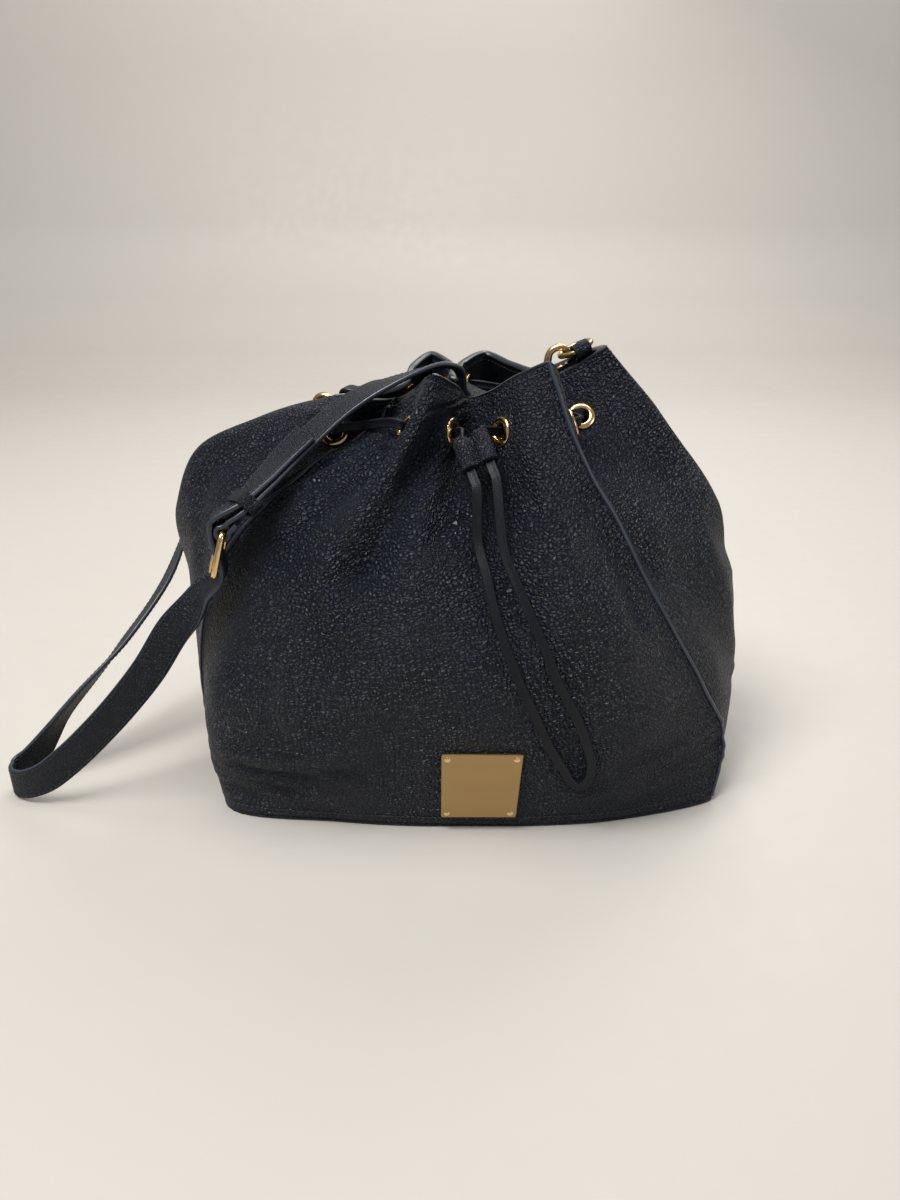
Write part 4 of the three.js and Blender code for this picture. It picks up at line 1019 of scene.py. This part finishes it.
# u, t, height off the wall along the loop hanging below the stop
HANGING_LOOP = [
    (.16, .635, 3.2), (.24, .58, 2.4), (.30, .52, 2.0), (.42, .45, 1.9), (.60, .37, 1.9),
    (.80, .30, 1.9), (1.05, .22, 1.9), (1.24, .165, 2.0), (1.36, .130, 2.2), (1.455, .121, 2.3),
    (1.53, .140, 2.2), (1.53, .18, 2.0), (1.45, .23, 1.9), (1.30, .30, 1.9), (1.06, .38, 1.9),
    (.90, .45, 1.9), (.76, .51, 2.0), (.64, .57, 2.5), (.54, .625, 3.4)]
# flat strip with a rounded bead along each edge
CORD_SECTION = with_half_turn([
    (2.75, 0), (2.68, .62), (2.35, 1.0), (1.85, 1.08), (1.35, .86), (0, .74),
    (-1.35, .86), (-1.85, 1.08), (-2.35, 1.0), (-2.68, .62)])


# A route is a list of (point, direction across the strip) pairs.
def follow(route, per, closed, rounds):
    """Smooth path and sides through a route; the sides are averaged a number of times."""
    path = curve([point for point, _ in route], per, closed)
    ends = route + route[:1] if closed else route
    sides = []
    for (_, a), (_, b) in zip(ends, ends[1:]):
        sides += [unit(a * (1 - s) + b * s) for s in np.arange(per) / per]
    if not closed:
        sides.append(route[-1][1])
    sides = np.array(sides)
    for _ in range(rounds):
        if closed:
            sides = unit(np.roll(sides, 1, 0) + 2 * sides + np.roll(sides, -1, 0))
        else:
            sides[1:-1] = unit(sides[:-2] + 2 * sides[1:-1] + sides[2:])
    return path, sides


def outside(i, distance=4.2):
    return EYELETS[i][1] + EYELETS[i][2] * distance


def through_pair(i, side):
    """In through eyelet i and out through the next."""
    points = [outside(i), EYELETS[i][1], outside(i, -7.),
              outside(i + 1, -7.), EYELETS[i + 1][1], outside(i + 1)]
    return [(point, side) for point in points]


def through_stop(lift, hole, side):
    return [(lift, side)] + [(hole + STOP_DOWN * s, side) for s in (-8, 0, 10.5, 16.5, 20.5)]


def hanging_loop():
    points = [off_wall(*row) for row in HANGING_LOOP]
    before, after = points[:1] + points[:-1], points[1:] + points[-1:]
    return [(point, unit(np.cross(unit(b - a), wall_normal(u, t))))
            for point, a, b, (u, t, _) in zip(points, before, after, HANGING_LOOP)]


def mouth_route():
    """Round the mouth through the eyelets, from the right end of the stop to the left."""
    up, down = Z_AXIS, -Z_AXIS
    start = LIFT_RIGHT + unit(outside(0) - LIFT_RIGHT) * 4.5
    end = LIFT_LEFT + unit(outside(11) - LIFT_LEFT) * 4.5
    return (
        [(start, unit(STOP_ACROSS + up))]
        + through_pair(0, up) + [(off_wall(4.6, .88, 5.0), up)]
        + through_pair(2, up) + [(off_wall(9.0, .88, 4.0), up)]
        + through_pair(4, up)[:-1]
        # the strip turns over between the two eyelets at the back middle
        + [(outside(5, 3), unit(up + EYELETS[5][2] * .01 + Y_AXIS)),
           (outside(6, 3), unit(down + Y_AXIS))]
        + through_pair(6, down)[1:] + [(off_wall(17.0, .87, 2.3), down)]
        + through_pair(8, down) + [(off_wall(21.0, .88, 4.5), down)]
        + through_pair(10, down)
        + [(end, unit(-STOP_ACROSS - up * .6))])


def drawstring():
    route = (through_stop(LIFT_LEFT, HOLE_LEFT, -STOP_ACROSS) + hanging_loop()
             + through_stop(LIFT_RIGHT, HOLE_RIGHT, STOP_ACROSS)[::-1] + mouth_route())
    path, sides = follow(route, per=7, closed=True, rounds=3)
    cord = build("drawstring", sweep(path, CORD_SECTION, True, sides), [CORD_HIDE], None, None,
                 angle=60)
    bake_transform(cord)
    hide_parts("drawstring_rim", "drawstring_pull")


def sleeve(center, half=9.6, sides=28):
    """Oval tube round one cord, rolled outward at its lower mouth."""
    stations = [  # place along the tube, swell of the outside
        (-half, .95), (-half + .5, 1.0), (-half + 1.2, 1.01), (-3, 1.0), (0, .985), (3, .99),
        (half - 3.0, .99), (half - 2.4, .97), (half - 1.9, 1.06), (half - .9, 1.12),
        (half - .3, 1.09), (half, 1.0)]
    points = np.array([center + STOP_DOWN * s for s, _ in stations])
    swell = [k for _, k in stations]
    outer = place(ellipse(4.75, 3.9, sides), points, STOP_ACROSS, STOP_OUT, swell)
    inner = place(ellipse(3.3, 1.9, sides), points, STOP_ACROSS, STOP_OUT)
    total, last = len(points) * sides, (len(points) - 1) * sides
    ring = [(q, (q + 1) % sides) for q in range(sides)]
    faces = []
    for a in range(0, last, sides):
        b, c, d = a + sides, a + total, a + sides + total
        for q, r in ring:
            faces += [(a + q, a + r, b + r, b + q), (c + q, d + q, d + r, c + r)]
    for q, r in ring:
        faces.append((q, total + q, total + r, r))
        faces.append((last + q, last + r, total + last + r, total + last + q))
    return np.concatenate([outer, inner]).reshape(-1, 3), faces


def cord_stop():
    """Two sleeves joined by a block, with two stitch rows on top."""
    parts = [sleeve(HOLE_LEFT), sleeve(HOLE_RIGHT),
             rounded_box(STOP_CENTER + STOP_OUT * .2, (STOP_DOWN, STOP_ACROSS, STOP_OUT),
                         (17.5, 3.6, 2.6), radius=.8)]
    for side in (-1, 1):
        middle = STOP_CENTER + STOP_OUT * 1.55 + STOP_ACROSS * side * 1.05
        line = np.array([middle - STOP_DOWN * 8, middle + STOP_DOWN * 8])
        parts.append(stitches(line, np.tile(STOP_OUT, (2, 1)), pitch=3.0, length=2.1, radius=.3,
                              lift=.1))
    build("cord_stop", join(parts), [STRAP_HIDE], "drawstring_slider", "drawstring_slider",
          angle=45)


drawstring()
cord_stop()

# ------------------------------------------------------------------ hooks and rings
# radius, height along the shank
COLLAR = [
    (0, 8.6), (2.0, 8.6), (2.7, 9.3), (2.9, 10.6), (3.3, 11.2), (3.45, 11.8), (3.45, 12.6),
    (3.0, 13.1), (2.9, 13.7), (3.35, 14.2), (3.4, 15.4), (2.8, 16.4), (2.2, 16.9), (0, 17.0)]
POST = [(0, -.1), (2.0, -.1), (2.4, .3), (2.4, 2.4), (2.0, 3.2), (0, 3.4)]
# along the shank and across it, from the post
SWIVEL_LOOP = [
    (3, -4), (3, 4), (4.5, 10.5), (6.5, 12.6), (11, 12.6), (12.5, 11), (12.5, 0), (12.5, -11),
    (11, -12.6), (6.5, -12.6), (4.5, -10.5)]
# place along the hook wire, thickness
HOOK_TAPER = np.array([(0, 1.15), (.12, 1.2), (.3, 1.05), (.6, 1.08), (.9, .95), (.97, .8),
                       (1, .35)])


def hook(side, at):
    shank, width = unit(at["shank"]), unit(at["width"])
    across = unit(np.cross(width, shank))

    def round_bend(degrees, radius=6.5):
        a = math.radians(degrees)
        return at["bend"] + shank * radius * math.cos(a) + across * radius * math.sin(a)

    wire = curve([at["bend"] + shank * 13, round_bend(4, 8.5), round_bend(25, 7.1)]
                 + [round_bend(a) for a in range(50, 233, 13)], 6)
    thickness = np.interp(np.linspace(0, 1, len(wire)), *HOOK_TAPER.T)
    claw = [sweep(wire, ellipse(2.0, 2.0, 18), False, width, thickness),
            turned_solid(COLLAR, at["bend"], shank, 36),
            rounded_box(at["bend"] + shank * 9.8 - across * 2.2, (shank, across, width),
                        (4.5, 3.5, 3.2), radius=.6)]
    build("snap_" + side, join(claw), [SHADED_GOLD], "hook_claw_" + side, "hook_claw_" + side,
          angle=50)

    # gate: a bar from its hinge to the tip, and the hinge barrel
    hinge, tip = round_bend(330, 7.6), round_bend(243, 6.5)
    reach = np.linalg.norm(tip - hinge)
    gate = [rod(hinge, unit(tip - hinge), 1.1, .8, reach - .6, segments=20, bevel=.4),
            rod(hinge, width, 1.9, -1.75, 1.75, segments=24, bevel=.3)]
    build("latch_" + side, join(gate), [SHADED_GOLD], "hook_gate_" + side, "hook_gate_" + side,
          angle=50)

    loop = curve(lay(SWIVEL_LOOP, at["post"], shank, width), 8, True)
    swivel = [sweep(loop, ellipse(1.6, 1.6, 16), True), turned_solid(POST, at["post"], shank, 28)]
    build("swivel_" + side, join(swivel), [SHADED_GOLD], "bag", "hook_eye_" + side, angle=50)

    circle = lay(ellipse(RING_RADIUS, RING_RADIUS, 64), at["ring"], unit(at["ring_x"]),
                 unit(at["ring_y"]))
    build("o_ring_" + side, sweep(circle, ellipse(1.55, 1.55, 18), True), [SHADED_GOLD],
          "ring_" + side, "ring_" + side)


for hook_side, hook_places in HOOKS.items():
    hook(hook_side, hook_places)

# ------------------------------------------------------------------ flat leather strips
PAINTED = {0, 1, 7, 8, 9, 10, 16, 17}  # faces of the strip section along its two edges


def strip_section(width, thickness, edge=.55):
    """Strip with crowned faces and rounded edges."""
    w, t = width / 2, thickness / 2
    return [(w, 0), (w - .12, t * .55), (w - edge, t * .95), (w - 1.5, t), (w * .45, t * 1.06),
            (-w * .45, t * 1.06), (-w + 1.5, t), (-w + edge, t * .95), (-w + .12, t * .55),
            (-w, 0), (-w + .12, -t * .55), (-w + edge, -t * .95), (-w + 1.5, -t),
            (-w * .45, -t), (w * .45, -t), (w - 1.5, -t), (w - edge, -t * .95),
            (w - .12, -t * .55)]


def strip(route, width, thickness):
    """Path, sides, mesh and face materials (0 hide, 1 painted edge) of a strip."""
    route = [(point, unit(side)) for point, side in route]
    path, sides = follow(route, per=6, closed=False, rounds=1)
    section = strip_section(width, thickness)
    mesh = sweep(path, section, False, sides)
    kinds = [int(k % len(section) in PAINTED) for k in range(len(mesh[1]) - 2)] + [1, 1]
    return path, sides, mesh, kinds


def ring_tab(side, degrees, middle, foot):
    """Doubled strip from the O-ring, held at an angle round it, down to its foot."""
    at = HOOKS[side]
    a = math.radians(degrees)
    x, y = at["ring_x"], at["ring_y"]
    top = at["ring"] + x * RING_RADIUS * math.cos(a) + y * RING_RADIUS * math.sin(a)
    top = top * .93 + at["ring"] * .07
    across = unit(-x * math.sin(a) + y * math.cos(a))
    down = middle - top
    down = unit(down - across * np.dot(down, across))
    out = unit(np.cross(across, down))
    bend = [top - down * 3.7 * math.cos(b) + out * 3.7 * math.sin(b)
            for b in np.radians((118, 75, 35, 0, -35, -75, -118))]
    way = [top + down * 6.5, middle, foot]
    points = [p + out * 1.05 for p in way][::-1] + bend + [p - out * 1.05 for p in way]
    _, _, mesh, kinds = strip([(p, across) for p in points], width=10.5, thickness=1.6)
    build("anchor_" + side, mesh, [STRAP_HIDE, DARK_EDGE_PAINT], "bag", "ring_tab_" + side,
          angle=50, face_materials=kinds)


ring_tab("right", -75, middle=vec(67, 25.5, 257.0), foot=off_wall(6.35, .925, -8.2))
ring_tab("left", 0, middle=off_wall(17.2, .93, 9.5), foot=off_wall(17.3, .985, 4.4))

# ------------------------------------------------------------------ strap
STRAP_WIDTH, STRAP_THICKNESS = 20.0, 2.7
BUCKLE_HALF = 12  # from the middle of the buckle to its upper and lower bars


def buckle_point(down, across, out):
    return BUCKLE_CENTER + BUCKLE_DOWN * down + BUCKLE_ACROSS * across + BUCKLE_OUT * out


def stations(rows):
    """Route from rows of x, y, z and the direction across the strap."""
    return [(vec(*row[:3]), vec(*row[3:])) for row in rows]


# both strap pieces run here, one over the other, above the buckle
SHARED_RUN = stations([
    (-92.9, -22.7, 222.6, .5, -.82, -.22), (-105.1, -29.5, 211.5, .58, -.8, -.08),
    (-115.3, -42.3, 201.5, .48, -.86, 0), (-125.1, -55.4, 192, .43, -.83, .22)])
# upper piece, from the right hook to the shared run
UPPER_RUN = stations([
    (2, 25, 235.5, .1, -.93, -.3), (-6, 22, 243, .12, -.95, -.2), (-9, 17, 250.5, .15, -.95, 0),
    (-13, 12, 255, .15, -.93, .2), (-22, 7, 256, .1, -.95, .28),
    (-40, 0, 251.5, .12, -.96, .1), (-69.3, -8.9, 239.6, .3, -.91, -.23)])
# lower piece, from the buckle down and round to the left hook
LOWER_RUN = stations([
    (-152, -60, 144, .45, -.8, -.25), (-162, -59, 131, .65, -.5, -.5),
    (-174, -57, 117, .78, -.1, -.6), (-190, -58, 93, .8, 0, -.6), (-209, -60, 70, .7, .1, -.7),
    (-228, -62, 50, .5, .1, -.86), (-246, -63, 33, .3, .05, -.95), (-264, -63, 19, .12, 0, -.99),
    (-279, -60, 12.5, 0, 0, -1), (-288, -54, 11.2, 0, 0, -1), (-289, -45, 11.5, 0, 0, -1),
    (-281, -38, 17, -.1, 0, -1), (-262, -22, 42, -.5, .1, -.85), (-230, 8, 76, -.7, .1, -.7),
    (-206, 40, 108, -.6, .5, -.6), (-190, 64, 145, -.3, .8, -.4), (-168, 76, 178, .2, .92, -.2),
    (-145, 78, 200, .4, .9, .05)])


def fold_round(bar, across, away, radius, tail, near=9):
    """Route folded round a bar: a tail comes in from the away side and it leaves beside it."""
    out = unit(np.cross(across, away))
    points = [bar + away * tail - out * 1.9, bar + away * near - out * 2.0]
    points += [bar - away * radius * math.cos(a) + out * radius * math.sin(a)
               for a in np.radians((-140, -90, -40, 0, 40, 90, 140))]
    points.append(bar + away * near + out * 1.9)
    return [(point, across) for point in points]


def strap_piece(name, node, route):
    """Strip with a stitch row near each edge on both faces."""
    path, sides, mesh, kinds = strip(route, STRAP_WIDTH, STRAP_THICKNESS)
    sides, ups = frames(path, False, sides)
    rows = [stitches(path + sides * across + ups * (STRAP_THICKNESS / 2 * face), ups * face,
                     pitch=3.3, length=2.4, radius=.33, lift=.05)
            for face in (1, -1) for across in (-8.0, 8.0)]
    mesh = join([mesh] + rows)
    kinds += [2] * (len(mesh[1]) - len(kinds))
    # the strap's edges take the lightened edge paint, a painted highlight along them
    build(name, mesh, [STRAP_HIDE, EDGE_PAINT_WITH_HIGHLIGHT, THREAD], "bag", node, angle=50,
          face_materials=kinds)


def upper_strap():
    away = unit([.734, .122, .668])
    away = unit(away - BUCKLE_ACROSS * np.dot(away, BUCKLE_ACROSS))
    hook_end = fold_round(HOOKS["right"]["bar"], -unit(HOOKS["right"]["width"]),
                          unit([-.9, 0, -.43]), radius=4.0, tail=15)
    buckle_end = fold_round(buckle_point(-BUCKLE_HALF, 0, 0), BUCKLE_ACROSS, away, radius=3.63,
                            tail=8.5, near=6.8)[::-1]
    strap_piece("strap_upper", "strap_short", hook_end + UPPER_RUN + SHARED_RUN + buckle_end)


def lower_strap():
    """Its end lies over the shared run, then passes through the buckle."""
    points = [point for point, _ in SHARED_RUN]
    before, after = points[:1] + points[:-1], points[1:] + points[-1:]
    over = [(point + unit(np.cross(unit(b - a), unit(side))) * height, side)
            for (point, side), a, b, height in zip(SHARED_RUN, before, after, (3.3, 3.3, 3.5, 4.3))]
    through = [(buckle_point(down, 0, out), BUCKLE_ACROSS) for down, out in (
        (-BUCKLE_HALF - 5, 6.9), (-BUCKLE_HALF, 6.9), (0, 2.0), (BUCKLE_HALF - 3, -2.8),
        (BUCKLE_HALF + 4, -3.4))]
    hook_end = fold_round(HOOKS["left"]["bar"], unit(HOOKS["left"]["width"]),
                          unit([-.86, .22, -.45]), radius=4.0, tail=15)[::-1]
    strap_piece("strap_lower", "strap_long", over + through + LOWER_RUN + hook_end)


def buckle_frame():
    # down and across from the buckle's middle
    outline = with_half_turn([
        (-BUCKLE_HALF, -11), (-BUCKLE_HALF, 0), (-BUCKLE_HALF, 11), (-10.6, 13.2),
        (-6, 13.8), (0, 13.9), (6, 13.8), (10.6, 13.2)])
    section = with_half_turn([(1.5, -.9), (1.7, 0), (1.5, .9), (.9, 1.5), (0, 1.7), (-.9, 1.5)])
    path = curve(lay(outline, BUCKLE_CENTER, BUCKLE_DOWN, BUCKLE_ACROSS), 6, True)
    offset = path - BUCKLE_CENTER
    outward = unit(offset - BUCKLE_OUT * (offset @ BUCKLE_OUT)[:, None])
    build("buckle_ring", sweep(path, section, True, outward), [GOLD], "bag", "buckle_frame",
          angle=50)


def buckle_tongue():
    """Barrel round the upper bar, and a prong reaching over the lower one."""
    barrel = [(1.95, -1.6), (3.0, -1.6), (3.2, -1.3), (3.2, 1.3), (3.0, 1.6), (1.95, 1.6)]
    section = [(1.5, -.5), (1.5, .4), (1.0, .9), (-1.0, .9), (-1.5, .4), (-1.5, -.5),
               (-1.0, -.85), (1.0, -.85)]
    root, tip = buckle_point(-BUCKLE_HALF, 0, 1.2), buckle_point(BUCKLE_HALF + 2.4, 0, 3.0)
    along = unit(tip - root)
    up = unit(np.cross(along, BUCKLE_ACROSS))
    length = np.linalg.norm(tip - root)
    s = np.linspace(0, 1, 14)
    path = (root + up * .6 + along * (1.8 + (length - 1.8) * s)[:, None]
            + up * (.5 * np.sin(s * math.pi))[:, None])
    parts = [turned_ring(barrel, buckle_point(-BUCKLE_HALF, 0, 0), BUCKLE_ACROSS, 28),
             sweep(path, section, False, BUCKLE_ACROSS, np.interp(s, [0, .7, 1], [1, .95, .7]))]
    build("buckle_prong", join(parts), [GOLD], "buckle_tongue", "buckle_tongue", angle=45)


def keeper():
    """Leather loop round both straps above the buckle."""
    along = unit([-.623, -.485, -.614])
    across = vec(.43, -.83, .22)
    across = unit(across - along * np.dot(across, along))
    out = unit(np.cross(along, across))
    corners = np.array([[-12.1, -5.8], [12.1, -5.8], [12.1, 5.8], [-12.1, 5.8]])
    section = [(4.0, -.6), (4.0, .6), (3.5, .8), (-3.5, .8), (-4.0, .6), (-4.0, -.6),
               (-3.5, -.75), (3.5, -.75)]
    path = lay(rounded_outline(corners, 3.0), vec(-124.1, -54.3, 193.0) + out * 1.65, across, out)
    build("keeper", sweep(path, section, True, along), [STRAP_HIDE], "bag", "strap_keeper",
          angle=40)


upper_strap()
lower_strap()
buckle_frame()
buckle_tongue()
keeper()


# ------------------------------------------------------------------ room, light, camera (metres)
def floor():
    """Floor that curves up into a wall behind the bag."""
    profile = [(-6, 0), (1.2, 0), (1.45, .03), (1.62, .12), (1.7, .28), (1.72, .6), (1.72, 4)]
    n = len(profile)
    data = bpy.data.meshes.new("floor")
    data.from_pydata([(x, y, z - .0002) for x in (-7, 7) for y, z in profile], [],
                     [(i, n + i, n + i + 1, i + 1) for i in range(n - 1)])
    ob = bpy.data.objects.new("floor", data)
    bpy.context.scene.collection.objects.link(ob)
    for face in data.polygons:
        face.use_smooth = True
    data.materials.append(plain("pale_floor", (.44, .415, .38), rough=.55, bump=.02, scale=60,
                                vary=.02))


def sky():
    world = bpy.data.worlds.new("sky")
    bpy.context.scene.world = world
    world.use_nodes = True
    background = world.node_tree.nodes["Background"]
    background.inputs["Color"].default_value = (.95, .97, 1.0, 1)
    background.inputs["Strength"].default_value = .30


def area_light(name, location, target, width, height, power, color):
    light = bpy.data.lights.new(name, "AREA")
    light.shape = "RECTANGLE"
    light.size, light.size_y = width, height
    light.energy = power
    light.color = color
    ob = bpy.data.objects.new(name, light)
    ob.location = location
    aim = Vector(target) - Vector(location)
    ob.rotation_euler = aim.to_track_quat("-Z", "Y").to_euler()
    bpy.context.scene.collection.objects.link(ob)


def camera():
    data = bpy.data.cameras.new("cam")
    data.sensor_fit = "AUTO"
    data.sensor_width = 36
    data.lens = 27.03
    data.clip_start = .01
    ob = bpy.data.objects.new("cam", data)
    ob.location = (-.0136, -.522, .350)
    ob.rotation_euler = (math.radians(90 - 24.6), 0, 0)  # looking 24.6 degrees down
    bpy.context.scene.collection.objects.link(ob)
    bpy.context.scene.camera = ob


WARM_WHITE = (1, .99, .97)
floor()
sky()
area_light("window", location=(-.65, -.55, 1.75), target=(.02, 0, .12), width=.9, height=.7,
           power=40, color=WARM_WHITE)
area_light("fill", location=(1.5, -.9, .8), target=(0, 0, .12), width=.8, height=.8,
           power=5, color=(.90, .95, 1))
area_light("back", location=(.5, 1.1, 1.3), target=(0, .1, .15), width=.9, height=.9,
           power=12, color=WARM_WHITE)
area_light("wash", location=(0, .2, 1.9), target=(0, 1.6, .8), width=1.2, height=1.2,
           power=26, color=WARM_WHITE)
camera()
bpy.context.scene.view_settings.view_transform = "Standard"
